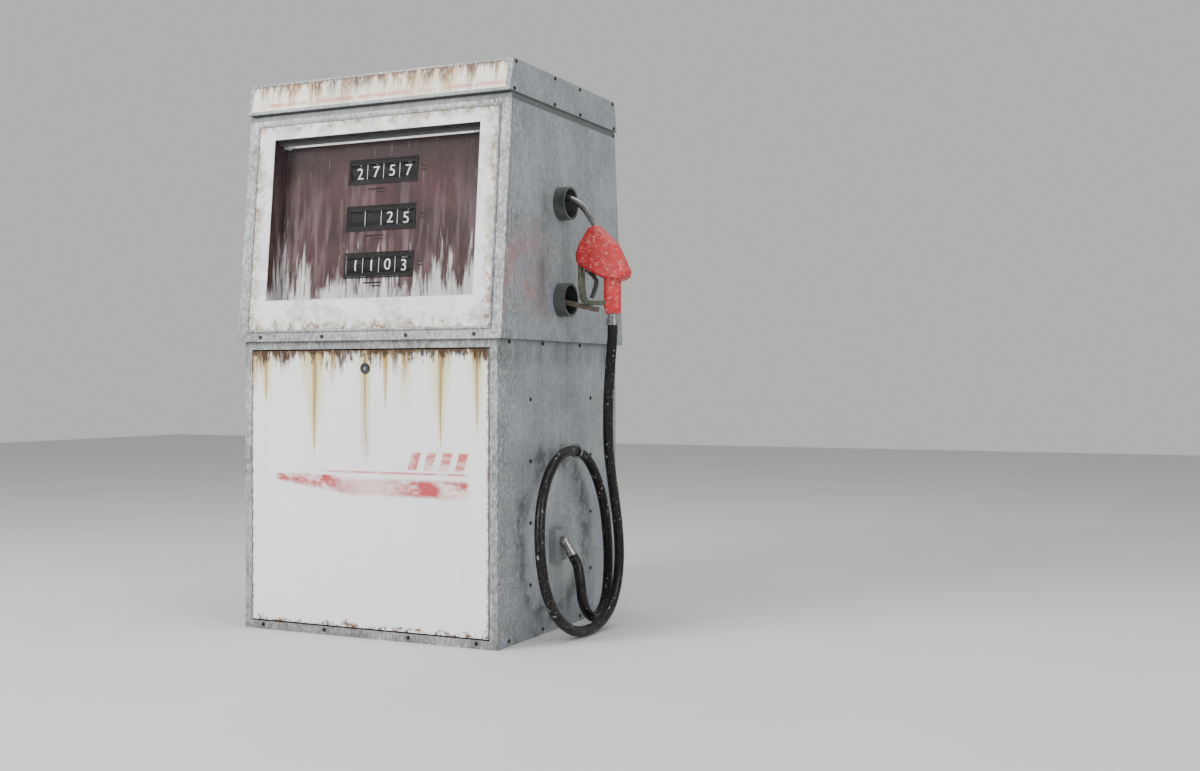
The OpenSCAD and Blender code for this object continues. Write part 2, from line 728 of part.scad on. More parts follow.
module trigger_profile() {
  x = trigger_pivot[0];
  z = trigger_pivot[1];
  polygon([[x + 2, z - 8], [x + 18, z - 21], [x + 26, z - 32], [x + 24, z - 48], [x + 16, z - 70],
    [x + 10, z - 84], [x + 16, z - 86], [x + 23, z - 72], [x + 32, z - 48], [x + 34, z - 30],
    [x + 24, z - 14], [x + 6, z + 4]]);
}

module nozzle_trigger() color("darkslategray") {
  translate([0, hang_y + 10, 0]) rotate([90, 0, 0]) linear_extrude(20) trigger_profile();
  translate([trigger_pivot[0], hang_y - 10.7, trigger_pivot[1]]) along_y(8, 21.4);
  translate([trigger_pivot[0], hang_y - 15, trigger_pivot[1]]) along_y(pin_r, 30);
}

module nozzle_swivel() color("gray") translate([nozzle_x, hang_y, 0]) {
  translate([0, 0, ferrule_z]) cylinder(r = 19.5, h = 21);
  translate([0, 0, ferrule_z + 20]) cylinder(r = 15.5, h = swivel_z - ferrule_z - 20);
  translate([0, 0, swivel_z - eps]) cylinder(r = shaft_r, h = 20);
}

// ---- outlet and hose ----

module outlet_box() color("lightslategray") difference() {
  block([side_x, outlet_y - 42, outlet_z - 62], [side_x + 24, outlet_y + 40, outlet_z + 38]);
  translate([side_x - 1, outlet_y, outlet_z]) along_x(14 + fit, 30);
}

module outlet_elbow() color("silver") {
  start = hose_path[0];
  knee_x = start.x - (outlet_z - start.z) / tan(outlet_fall);
  translate([in_x - 6, outlet_y, outlet_z]) along_x(14, knee_x - in_x + 6);
  translate([knee_x, outlet_y, outlet_z]) sphere(r = 15.5);
  translate(start) rotate([0, outlet_fall - 90, 0]) {
    cylinder(r = 14, h = (outlet_z - start.z) / sin(outlet_fall));
    cylinder(r = 15.5, h = 18);
  }
}

module hose_clip() color("silver") {
  at = hose_path[14];
  difference() {
    union() {
      translate([side_x, at.y, at.z]) along_x(22, 3);
      translate([side_x, at.y, at.z]) along_x(6, at.x - side_x - hose_r - 4.8);
      translate([at.x, at.y - 5, at.z]) along_y(hose_r + 6.2, 10);
    }
    translate([at.x, at.y - 7, at.z]) along_y(hose_r + 3.3, 14);
  }
}

function unit(v) = v / norm(v);
function heading(i) = i == 0 ? unit(hose_path[1] - hose_path[0])
  : i == len(hose_path) - 1 ? unit(hose_path[i] - hose_path[i - 1])
  : unit(unit(hose_path[i + 1] - hose_path[i]) + unit(hose_path[i] - hose_path[i - 1]));
function ring(i) = let(t = heading(i), n = unit(cross(t, [1, 0, 0])), b = cross(t, n))
  [for (k = [0 : hose_sides - 1]) let(a = 360 * k / hose_sides)
    hose_path[i] + hose_r * (cos(a) * n + sin(a) * b)];
function corner(i, k) = i * hose_sides + k % hose_sides;

module hose() color("black") {
  rings = len(hose_path);
  points = [for (i = [0 : rings - 1]) each ring(i)];
  polyhedron(points, [
    [for (k = [0 : hose_sides - 1]) k],
    for (i = [0 : rings - 2], k = [0 : hose_sides - 1]) each
      [[corner(i, k), corner(i + 1, k), corner(i + 1, k + 1)],
        [corner(i, k), corner(i + 1, k + 1), corner(i, k + 1)]],
    [for (k = [hose_sides - 1 : -1 : 0]) corner(rings - 1, k)]]);
}

// ---- nodes ----

base_frame();
corner_frame();
left_side_panel();
right_side_panel();
rear_panel();
front_surround();
equipment_shelf();
electric_motor();
pump_unit();
flow_meter();
solenoid_valve();
suction_pipe();
discharge_pipes();
drive_belt();
motor_pulley();
pump_pulley();
meter_shaft();
front_door();
lock_barrel();
lock_plug();
head_floor();
head_left_panel();
head_right_panel();
head_rear_panel();
head_front_frame();
display_surround();
display_glass();
display_box();
dial_plate();
lamp_tube();
lamp_holders();
register_frame();
cap_shell();
cap_fascia();
panel_screws();
spout_cup();
rest_cup();
rest_lever();
nozzle_body();
nozzle_cover();
nozzle_spout();
nozzle_guard();
nozzle_trigger();
nozzle_swivel();
outlet_box();
outlet_elbow();
hose_clip();
hose();
for (row = [0 : 2], place = [0 : 3])
  number_wheel(row, place);
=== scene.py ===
"""A weathered fuel dispenser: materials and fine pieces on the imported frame."""

import json
import math
import bmesh
import bpy
from bpy.props import FloatProperty, FloatVectorProperty, IntProperty, PointerProperty
from mathutils import Matrix, Vector


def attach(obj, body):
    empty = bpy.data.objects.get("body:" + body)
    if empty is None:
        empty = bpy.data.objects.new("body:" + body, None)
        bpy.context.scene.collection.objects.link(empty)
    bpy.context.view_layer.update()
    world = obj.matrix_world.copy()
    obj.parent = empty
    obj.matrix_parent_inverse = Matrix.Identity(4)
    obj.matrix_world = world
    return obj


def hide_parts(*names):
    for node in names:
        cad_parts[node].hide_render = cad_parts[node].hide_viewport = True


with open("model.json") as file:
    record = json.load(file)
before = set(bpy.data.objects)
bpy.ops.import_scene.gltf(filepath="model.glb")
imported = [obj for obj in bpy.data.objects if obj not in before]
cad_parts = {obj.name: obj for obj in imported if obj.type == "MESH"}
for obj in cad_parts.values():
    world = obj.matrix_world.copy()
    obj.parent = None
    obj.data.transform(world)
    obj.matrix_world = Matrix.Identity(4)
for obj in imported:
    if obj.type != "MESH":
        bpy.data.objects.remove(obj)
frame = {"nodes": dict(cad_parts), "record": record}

bl_info = {
    "name": "Fuel dispenser",
    "version": (1, 0, 0),
    "blender": (4, 5, 0),
    "location": "3D View > Sidebar > Dispenser",
    "description": "Finishes and fine pieces for a weathered fuel dispenser",
    "category": "Object",
}

LEAN = math.radians(5.33)
FACE_ORIGIN = Vector((0, -0.437, 0.916))
COUNTER_V = (0.542, 0.393, 0.244)
AXLE_W = -0.132
DOOR_TOP = 0.886
DOOR_SKIN_FRONT = -0.4229
DOOR_SKIN_BACK = -0.4221
FASCIA_TOP = 1.747
LAMP_V = 0.643
LAMP_W = -0.048
LAMP_HALF = 0.357
DIGIT_WIDTH = 0.027
FONT_WIDTH = 0.026
WHEEL_R = 0.066
ROWS = ("total", "volume", "price")
PLACES = ("thousands", "hundreds", "tens", "units")
SHOWN = {"total": "2757", "volume": "  25", "price": "1103"}
HOSE_ROUTE = (
    (0.526, -0.048, 0.238), (0.543, -0.051, 0.211), (0.558, -0.060, 0.158), (0.562, -0.052, 0.100),
    (0.562, -0.016, 0.056), (0.560, 0.038, 0.035), (0.557, 0.092, 0.044), (0.553, 0.138, 0.080),
    (0.549, 0.165, 0.140), (0.545, 0.178, 0.215), (0.539, 0.181, 0.295), (0.532, 0.172, 0.380),
    (0.523, 0.142, 0.465), (0.514, 0.086, 0.535), (0.510, 0.008, 0.567), (0.511, -0.075, 0.565),
    (0.516, -0.152, 0.540), (0.524, -0.222, 0.492), (0.532, -0.275, 0.422), (0.541, -0.305, 0.335),
    (0.551, -0.313, 0.242), (0.563, -0.301, 0.155), (0.577, -0.262, 0.082), (0.589, -0.192, 0.034),
    (0.596, -0.105, 0.017), (0.600, -0.008, 0.026), (0.602, 0.072, 0.066), (0.603, 0.120, 0.136),
    (0.603, 0.138, 0.225), (0.603, 0.127, 0.320), (0.607, 0.092, 0.412), (0.616, 0.045, 0.500),
    (0.627, 0.000, 0.595), (0.640, -0.030, 0.710), (0.654, -0.045, 0.840), (0.663, -0.048, 0.934),
    (0.663, -0.048, 0.964))


def on_face(u, v, w):
    """A point given along the head's front, up its slope and out of it."""
    return FACE_ORIGIN + Vector((u, v * math.sin(LEAN) - w * math.cos(LEAN),
                                 v * math.cos(LEAN) + w * math.sin(LEAN)))


def new_object(name, mesh, material=None, smooth=False):
    obj = bpy.data.objects.new(name, mesh)
    bpy.context.scene.collection.objects.link(obj)
    if material:
        mesh.materials.clear()
        mesh.materials.append(material)
    if smooth:
        mesh.shade_smooth()
    return obj


def finish_mesh(bm, name, material=None, smooth=False):
    bmesh.ops.recalc_face_normals(bm, faces=bm.faces)
    mesh = bpy.data.meshes.new(name)
    bm.to_mesh(mesh)
    bm.free()
    return new_object(name, mesh, material, smooth)


def add_block(bm, low, high, place=None):
    """A closed block between two corners, through place if that is given."""
    corners = [Vector((x, y, z)) for x in (low[0], high[0]) for y in (low[1], high[1])
               for z in (low[2], high[2])]
    verts = [bm.verts.new(place(*c) if place else c) for c in corners]
    for face in ((0, 1, 3, 2), (4, 6, 7, 5), (0, 4, 5, 1), (2, 3, 7, 6), (0, 2, 6, 4), (1, 5, 7, 3)):
        bm.faces.new([verts[i] for i in face])


def spline_points(route, steps):
    """A smooth line through the route's points."""
    points = [Vector(p) for p in route]
    ends = [points[0] * 2 - points[1]] + points + [points[-1] * 2 - points[-2]]
    line = []
    for i in range(1, len(ends) - 2):
        p0, p1, p2, p3 = ends[i - 1:i + 3]
        t0 = 0
        t1 = t0 + math.sqrt((p1 - p0).length)
        t2 = t1 + math.sqrt((p2 - p1).length)
        t3 = t2 + math.sqrt((p3 - p2).length)
        for k in range(steps):
            t = t1 + (t2 - t1) * k / steps
            a1 = p0 * ((t1 - t) / (t1 - t0)) + p1 * ((t - t0) / (t1 - t0))
            a2 = p1 * ((t2 - t) / (t2 - t1)) + p2 * ((t - t1) / (t2 - t1))
            a3 = p2 * ((t3 - t) / (t3 - t2)) + p3 * ((t - t2) / (t3 - t2))
            b1 = a1 * ((t2 - t) / (t2 - t0)) + a2 * ((t - t0) / (t2 - t0))
            b2 = a2 * ((t3 - t) / (t3 - t1)) + a3 * ((t - t1) / (t3 - t1))
            line.append(b1 * ((t2 - t) / (t2 - t1)) + b2 * ((t - t1) / (t2 - t1)))
    return line + [points[-1]]


def sweep(line, radius, sides, closed=False):
    """A closed tube along the line. radius is a number, or a function of the ring's index."""
    bm = bmesh.new()
    count = len(line)
    rings = []
    side = None
    for i, point in enumerate(line):
        if closed:
            ahead = (line[(i + 1) % count] - line[i - 1]).normalized()
        else:
            ahead = (line[min(i + 1, count - 1)] - line[max(i - 1, 0)]).normalized()
        if side is None:
            side = ahead.cross(Vector((1, 0, 0)) if abs(ahead.x) < 0.9 else Vector((0, 0, 1))).normalized()
        side = (side - ahead * side.dot(ahead)).normalized()
        other = ahead.cross(side)
        r = radius(i) if callable(radius) else radius
        rings.append([bm.verts.new(point + (side * math.cos(a) + other * math.sin(a)) * r)
                      for a in (2 * math.pi * k / sides for k in range(sides))])
    pairs = [(rings[i], rings[i + 1]) for i in range(count - 1)]
    if closed:
        pairs.append((rings[-1], rings[0]))
    for low, high in pairs:
        for k in range(sides):
            bm.faces.new((low[k], low[(k + 1) % sides], high[(k + 1) % sides], high[k]))
    if not closed:
        bm.faces.new(rings[0][::-1])
        bm.faces.new(rings[-1])
    return bm


# ---- materials ----

class Nodes:
    """Short ways to lay out one material's nodes."""

    def __init__(self, name):
        self.material = bpy.data.materials.new(name)
        self.material.use_nodes = True
        self.tree = self.material.node_tree
        self.shader = self.tree.nodes["Principled BSDF"]
        self.place = self.tree.nodes.new("ShaderNodeTexCoord").outputs["Object"]
        split = self.tree.nodes.new("ShaderNodeSeparateXYZ")
        self.link(self.place, split.inputs[0])
        self.x, self.y, self.z = split.outputs

    def link(self, source, target):
        self.tree.links.new(source, target)

    def feed(self, value, target):
        if isinstance(value, bpy.types.NodeSocket):
            self.link(value, target)
        elif isinstance(value, (tuple, list)):
            target.default_value = (*value, 1) if len(value) == 3 and target.type == "RGBA" else value
        else:
            target.default_value = value

    def noise(self, scale, detail=5, rough=0.6, stretch=(1, 1, 1), distortion=0.0):
        mapping = self.tree.nodes.new("ShaderNodeMapping")
        mapping.inputs["Scale"].default_value = stretch
        self.link(self.place, mapping.inputs["Vector"])
        node = self.tree.nodes.new("ShaderNodeTexNoise")
        self.link(mapping.outputs[0], node.inputs["Vector"])
        node.inputs["Scale"].default_value = scale
        node.inputs["Detail"].default_value = detail
        node.inputs["Roughness"].default_value = rough
        node.inputs["Distortion"].default_value = distortion
        return node.outputs["Fac"]

    def cells(self, scale, stretch=(1, 1, 1)):
        mapping = self.tree.nodes.new("ShaderNodeMapping")
        mapping.inputs["Scale"].default_value = stretch
        self.link(self.place, mapping.inputs["Vector"])
        node = self.tree.nodes.new("ShaderNodeTexVoronoi")
        self.link(mapping.outputs[0], node.inputs["Vector"])
        node.inputs["Scale"].default_value = scale
        grey = self.tree.nodes.new("ShaderNodeSeparateXYZ")
        self.link(node.outputs["Color"], grey.inputs[0])
        return grey.outputs[0]

    def fade(self, value, low, high, start=0.0, end=1.0):
        node = self.tree.nodes.new("ShaderNodeMapRange")
        node.interpolation_type = "SMOOTHSTEP" if low < high else "LINEAR"
        self.feed(value, node.inputs["Value"])
        for key, number in (("From Min", low), ("From Max", high), ("To Min", start), ("To Max", end)):
            node.inputs[key].default_value = number
        return node.outputs[0]

    def maths(self, kind, a, b=0.0):
        node = self.tree.nodes.new("ShaderNodeMath")
        node.operation = kind
        self.feed(a, node.inputs[0])
        self.feed(b, node.inputs[1])
        return node.outputs[0]

    def times(self, *values):
        result = values[0]
        for value in values[1:]:
            result = self.maths("MULTIPLY", result, value)
        return result

    def band(self, value, low, high, edge):
        """1 between low and high, with soft edges."""
        return self.times(self.fade(value, low - edge, low + edge),
                          self.fade(value, high - edge, high + edge, 1.0, 0.0))

    def mix(self, factor, a, b):
        node = self.tree.nodes.new("ShaderNodeMix")
        node.data_type = "RGBA"
        self.feed(factor, node.inputs[0])
        self.feed(a, node.inputs[6])
        self.feed(b, node.inputs[7])
        return node.outputs[2]

    def group(self, tree, **values):
        node = self.tree.nodes.new("ShaderNodeGroup")
        node.node_tree = tree
        self.link(self.place, node.inputs["Place"])
        for key, value in values.items():
            self.feed(value, node.inputs[key])
        return node.outputs

    def bump(self, height, strength, distance=0.001):
        node = self.tree.nodes.new("ShaderNodeBump")
        node.inputs["Strength"].default_value = strength
        node.inputs["Distance"].default_value = distance
        self.link(height, node.inputs["Height"])
        self.link(node.outputs[0], self.shader.inputs["Normal"])

    def done(self, color, rough=0.6, metallic=0.0, **others):
        self.feed(color, self.shader.inputs["Base Color"])
        self.feed(rough, self.shader.inputs["Roughness"])
        self.shader.inputs["Metallic"].default_value = metallic
        for key, value in others.items():
            self.shader.inputs[key.replace("_", " ")].default_value = value
        return self.material


def weather_group():
    """Dirt that lies in patches and runs down in streaks, shared by the painted and zinc finishes."""
    tree = bpy.data.node_groups.new("weathering", "ShaderNodeTree")
    face = tree.interface
    face.new_socket("Place", in_out="INPUT", socket_type="NodeSocketVector")
    face.new_socket("Color", in_out="INPUT", socket_type="NodeSocketColor")
    dirt = face.new_socket("Dirt", in_out="INPUT", socket_type="NodeSocketColor")
    dirt.default_value = (0.16, 0.14, 0.11, 1)
    for name, value in (("Patches", 0.4), ("Streaks", 0.3), ("Patch scale", 7.0), ("Streak scale", 60.0)):
        socket = face.new_socket(name, in_out="INPUT", socket_type="NodeSocketFloat")
        socket.default_value = value
    face.new_socket("Color", in_out="OUTPUT", socket_type="NodeSocketColor")
    face.new_socket("Mask", in_out="OUTPUT", socket_type="NodeSocketFloat")
    start = tree.nodes.new("NodeGroupInput")
    end = tree.nodes.new("NodeGroupOutput")
    masks = []
    kinds = (("Patch", (1, 1, 1), 0.48, 0.74), ("Streak", (1, 1, 0.045), 0.50, 0.72))
    for kind, stretch, low, high in kinds:
        mapping = tree.nodes.new("ShaderNodeMapping")
        mapping.inputs["Scale"].default_value = stretch
        tree.links.new(start.outputs["Place"], mapping.inputs["Vector"])
        noise = tree.nodes.new("ShaderNodeTexNoise")
        noise.inputs["Detail"].default_value = 6
        noise.inputs["Roughness"].default_value = 0.66
        tree.links.new(mapping.outputs[0], noise.inputs["Vector"])
        tree.links.new(start.outputs[kind + " scale"], noise.inputs["Scale"])
        spread = tree.nodes.new("ShaderNodeMapRange")
        spread.inputs["From Min"].default_value = low
        spread.inputs["From Max"].default_value = high
        tree.links.new(noise.outputs["Fac"], spread.inputs["Value"])
        much = tree.nodes.new("ShaderNodeMath")
        much.operation = "MULTIPLY"
        tree.links.new(spread.outputs[0], much.inputs[0])
        tree.links.new(start.outputs["Patches" if kind == "Patch" else "Streaks"], much.inputs[1])
        masks.append(much.outputs[0])
    most = tree.nodes.new("ShaderNodeMath")
    most.operation = "MAXIMUM"
    tree.links.new(masks[0], most.inputs[0])
    tree.links.new(masks[1], most.inputs[1])
    mix = tree.nodes.new("ShaderNodeMix")
    mix.data_type = "RGBA"
    tree.links.new(most.outputs[0], mix.inputs[0])
    tree.links.new(start.outputs["Color"], mix.inputs[6])
    tree.links.new(start.outputs["Dirt"], mix.inputs[7])
    tree.links.new(mix.outputs[2], end.inputs["Color"])
    tree.links.new(most.outputs[0], end.inputs["Mask"])
    return tree


def zinc_finish(name, base, light, dark, marks):
    """Old zinc-coated sheet: upright spangles, grain, streaks, marks where hands rub, and a dark arc with a
    lighter zone inside it behind the hose loop.
    """
    n = Nodes(name)
    spangle = n.cells(150, (1, 1, 0.22))
    cloud = n.noise(4.5, 9, 0.72)
    streak = n.noise(70, 5, 0.65, (1, 1, 0.04))
    grain = n.noise(115, 7, 0.82, (1, 1, 0.6))
    fine = n.noise(520, 3, 0.7)
    tone = n.mix(n.fade(cloud, 0.34, 0.66), dark, light)
    tone = n.mix(n.fade(spangle, 0.0, 1.0, 0.15, 0.75), tone, base)
    tone = n.mix(n.times(n.fade(spangle, 0.72, 0.80), 0.30), tone, dark)
    tone = n.mix(n.times(n.fade(streak, 0.54, 0.70), 0.40), tone, light)
    tone = n.mix(n.times(n.fade(streak, 0.46, 0.32), 0.35), tone, dark)
    edges = 0.35 if marks else 1.0
    near = n.maths("MAXIMUM", n.fade(n.y, -0.20, -0.42), edges) if marks else 1.0
    rough_dark = n.times(n.fade(grain, 0.50, 0.40), n.fade(cloud, 0.62, 0.40, 0.45, 1.0), near)
    tone = n.mix(n.times(rough_dark, 0.90), tone, (0.055, 0.058, 0.055))
    tone = n.mix(n.times(n.fade(grain, 0.53, 0.62), near, 0.75), tone, (0.66, 0.68, 0.67))
    tone = n.mix(n.times(n.fade(fine, 0.56, 0.70), 0.35), tone, (0.58, 0.60, 0.60))
    color = tone
    foot = n.times(n.fade(n.z, 0.13, 0.0), n.fade(n.noise(16, 6, 0.7), 0.35, 0.7))
    color = n.mix(n.times(foot, 0.6), color, (0.075, 0.070, 0.060))
    # Painted shadow: a darker band on the cabinet's zinc just under the head's overhanging bottom edge.
    head_overhang_shadow = n.times(n.band(n.z, 0.84, 0.925, 0.03), n.fade(n.noise(20, 6, 0.75, (1, 1, 0.25)), 0.38, 0.66))
    color = n.mix(n.times(head_overhang_shadow, 0.55), color, (0.070, 0.072, 0.070))
    # Painted shade: the recessed strip under the cap's skirt is darkened as if it lies in shadow.
    recess_strip_shade = n.band(n.z, 1.6295, 1.6525, 0.002)
    color = n.mix(n.times(recess_strip_shade, 0.75), color, (0.075, 0.080, 0.080))
    if marks:
        front = n.fade(n.y, -0.08, -0.30)
        stain = n.times(n.fade(n.noise(8, 7, 0.75), 0.44, 0.60), n.band(n.z, 0.99, 1.26, 0.06), front)
        color = n.mix(n.times(stain, n.fade(fine, 0.62, 0.42), 0.8), color, (0.40, 0.13, 0.13))
        smear = n.times(n.band(n.y, -0.20, -0.12, 0.03), n.band(n.z, 0.97, 1.40, 0.06),
                        n.fade(n.noise(11, 6, 0.7, (1, 1, 0.35)), 0.40, 0.62))
        color = n.mix(n.times(smear, 0.6), color, (0.085, 0.080, 0.078))
        # A dark arc on the panel behind the hose loop, with a lighter zone inside it.
        dy = n.maths("ADD", n.y, 0.06)
        dz = n.times(n.maths("SUBTRACT", n.z, 0.31), 0.92)
        away = n.maths("SQRT", n.maths("ADD", n.times(dy, dy), n.times(dz, dz)))
        inside = n.fade(n.x, 0.44, 0.455)
        arc = n.times(n.band(away, 0.195, 0.265, 0.030), n.fade(n.noise(11, 7, 0.75), 0.43, 0.60), inside)
        color = n.mix(n.times(arc, 0.80), color, (0.050, 0.052, 0.052))
        bright = n.times(n.band(away, 0.07, 0.17, 0.04), n.fade(n.noise(15, 6, 0.7), 0.45, 0.62), inside)
        color = n.mix(n.times(bright, 0.45), color, (0.50, 0.51, 0.51))
    rust = n.times(n.fade(n.noise(34, 8, 0.8), 0.66, 0.74), 0.55)
    color = n.mix(rust, color, (0.20, 0.105, 0.055))
    aged = n.group(weather, Color=color, Dirt=(0.10, 0.10, 0.095), Patches=0.18, Streaks=0.22)
    rough = n.fade(cloud, 0.2, 0.8, 0.62, 0.45)
    n.bump(n.maths("ADD", n.times(cloud, 0.5), n.times(grain, 0.22)), 0.30, 0.002)
    return n.done(aged["Color"], rough, 0.2)


def rust_runs(n, top, length, scale, low=0.46, high=0.74):
    """Mask of runs of rust that hang down from the height top, each as long as the noise says."""
    reach = n.fade(n.noise(scale, 3, 0.6, (1, 0.02, 0.02)), low, high, 0.002, length)
    below = n.maths("SUBTRACT", top, n.z)
    inside = n.maths("DIVIDE", below, reach)
    return n.times(n.fade(inside, 1.0, 0.25), n.fade(n.noise(170, 4, 0.65, (1, 1, 0.12)), 0.30, 0.52))


def drips(n, top, places):
    """Masks of single long runs: a wide halo and a narrow core. Each place is x, half width and length."""
    wobble = n.times(n.maths("SUBTRACT", n.noise(9, 3, 0.6, (1, 1, 0.5)), 0.5), 0.012)
    halo = core = None
    for x, half, length in places:
        away = n.maths("ABSOLUTE", n.maths("ADD", n.maths("SUBTRACT", n.x, x), wobble))
        below = n.maths("SUBTRACT", top, n.z)
        wide = n.fade(below, length, 0.0, 0.0, half)
        spread = n.fade(n.maths("DIVIDE", away, n.maths("MAXIMUM", wide, 0.0001)), 2.2, 0.3)
        tight = n.fade(n.maths("DIVIDE", away, n.maths("MAXIMUM", wide, 0.0001)), 0.55, 0.05)
        halo = spread if halo is None else n.maths("MAXIMUM", halo, spread)
        core = tight if core is None else n.maths("MAXIMUM", core, tight)
    return halo, core


def door_finish():
    n = Nodes("door paint")
    cloud = n.noise(4, 7, 0.68)
    tone = n.mix(n.fade(cloud, 0.3, 0.72), (0.86, 0.88, 0.89), (0.92, 0.92, 0.91))
    aged = n.group(weather, Color=tone, Dirt=(0.62, 0.62, 0.58), Patches=0.16, Streaks=0.22)
    color = aged["Color"]
    wear = n.noise(17, 8, 0.78, (0.6, 1, 1.2))
    taper = n.fade(n.x, -0.05, -0.335, 0.0, 0.040)
    upper = n.maths("SUBTRACT", n.z, taper)
    main = n.times(n.band(upper, 0.440, 0.490, 0.008), n.band(n.x, -0.335, 0.365, 0.012),
                   n.fade(n.z, 0.501, 0.498))
    strength = n.times(n.fade(wear, 0.40, 0.55), n.fade(n.maths("ABSOLUTE", n.maths("SUBTRACT", n.x, 0.02)),
                                                        0.02, 0.18, 0.35, 1.0))
    color = n.mix(n.times(main, n.fade(wear, 0.70, 0.36), 0.60), color, (0.86, 0.56, 0.55))
    color = n.mix(n.times(main, strength, 0.95), color, (0.48, 0.022, 0.030))
    thin = n.times(n.band(n.z, 0.507, 0.514, 0.0015), n.band(n.x, -0.16, 0.355, 0.02),
                   n.fade(wear, 0.38, 0.55))
    color = n.mix(n.times(thin, 0.8), color, (0.62, 0.10, 0.095))
    slant = n.maths("SUBTRACT", n.x, n.times(n.maths("SUBTRACT", n.z, 0.515), 0.32))
    for x in (0.150, 0.205, 0.260, 0.315):
        bar = n.times(n.band(slant, x, x + 0.032, 0.003), n.band(n.z, 0.521, 0.575, 0.003),
                      n.fade(wear, 0.40, 0.58, 0.25, 0.9))
        color = n.mix(bar, color, (0.60, 0.055, 0.055))
    halo, core = drips(n, DOOR_TOP, ((-0.190, 0.034, 0.33), (0.0, 0.020, 0.30), (0.075, 0.013, 0.19),
                                  (0.270, 0.028, 0.30), (0.395, 0.020, 0.26), (-0.380, 0.026, 0.17)))
    color = n.mix(n.times(halo, 0.80), color, (0.66, 0.62, 0.22))
    haze = n.times(rust_runs(n, DOOR_TOP, 0.24, 11, 0.50, 0.72), 0.55)
    color = n.mix(haze, color, (0.64, 0.56, 0.22))
    color = n.mix(n.times(core, 0.85), color, (0.30, 0.15, 0.030))
    runs = rust_runs(n, DOOR_TOP, 0.18, 22, 0.48, 0.74)
    color = n.mix(n.times(runs, 0.85), color, (0.44, 0.24, 0.045))
    dark_runs = rust_runs(n, DOOR_TOP, 0.10, 30, 0.42, 0.72)
    color = n.mix(n.times(dark_runs, 0.95), color, (0.115, 0.050, 0.016))
    drip = n.times(n.band(n.x, -0.014, 0.012, 0.010), n.band(n.z, 0.56, 0.815, 0.05))
    color = n.mix(n.times(drip, n.fade(n.noise(60, 3, 0.6, (1, 1, 0.1)), 0.35, 0.6), 0.6), color,
                  (0.36, 0.26, 0.14))
    ragged = n.maths("ADD", n.z, n.times(n.maths("SUBTRACT", n.noise(38, 7, 0.75, (1, 1, 0.3)), 0.5), 0.26))
    crust = n.fade(ragged, 0.856, 0.880)
    color = n.mix(n.times(crust, 0.95), color, (0.050, 0.024, 0.012))
    uneven = n.times(n.maths("SUBTRACT", n.noise(24, 7, 0.75), 0.5), 0.12)
    base_rust = n.fade(n.maths("ADD", n.z, uneven), 0.046, 0.034)
    rim = n.maths("MAXIMUM", base_rust, n.times(n.fade(n.maths("ABSOLUTE", n.x), 0.423, 0.431), 0.8))
    specks = n.times(rim, n.fade(n.noise(75, 6, 0.75), 0.44, 0.56))
    color = n.mix(specks, color, (0.15, 0.07, 0.035))
    chips = n.fade(n.noise(34, 8, 0.8), 0.70, 0.74)
    color = n.mix(chips, color, (0.22, 0.12, 0.07))
    inner = n.mix(n.fade(n.noise(5, 7, 0.7), 0.35, 0.65), (0.50, 0.51, 0.50), (0.62, 0.63, 0.61))
    inner = n.group(weather, Color=inner, Dirt=(0.20, 0.15, 0.10), Patches=0.5, Streaks=0.4)["Color"]
    color = n.mix(n.fade(n.y, DOOR_SKIN_FRONT, DOOR_SKIN_BACK), color, inner)
    rough = n.mix(crust, (0.38, 0.38, 0.38), (0.85, 0.85, 0.85))
    raised = n.times(n.maths("MAXIMUM", crust, specks), 0.7)
    n.bump(n.maths("ADD", n.times(cloud, 0.5), raised), 0.35, 0.0015)
    return n.done(color, rough)


def fascia_finish():
    n = Nodes("fascia paint")
    cloud = n.noise(6, 7, 0.68)
    tone = n.mix(n.fade(cloud, 0.3, 0.7), (0.78, 0.74, 0.60), (0.90, 0.87, 0.76))
    aged = n.group(weather, Color=tone, Dirt=(0.34, 0.28, 0.18), Patches=0.5, Streaks=0.55)
    color = aged["Color"]
    line = n.times(n.band(n.z, 1.670, 1.682, 0.003), n.fade(n.noise(14, 6, 0.75), 0.42, 0.56))
    color = n.mix(n.times(line, 0.8), color, (0.66, 0.20, 0.17))
    color = n.mix(n.times(rust_runs(n, FASCIA_TOP, 0.12, 12, 0.42, 0.66), 0.75), color, (0.50, 0.32, 0.07))
    color = n.mix(n.times(rust_runs(n, FASCIA_TOP, 0.11, 24, 0.42, 0.66), 0.9), color, (0.19, 0.080, 0.020))
    color = n.mix(n.times(rust_runs(n, FASCIA_TOP, 0.07, 34, 0.40, 0.66), 0.9), color, (0.045, 0.020, 0.009))
    crust = n.times(n.fade(n.z, 1.733, 1.745), n.fade(n.noise(55, 6, 0.75), 0.40, 0.55))
    color = n.mix(crust, color, (0.12, 0.055, 0.03))
    n.bump(n.maths("ADD", cloud, crust), 0.3, 0.001)
    return n.done(color, 0.5)


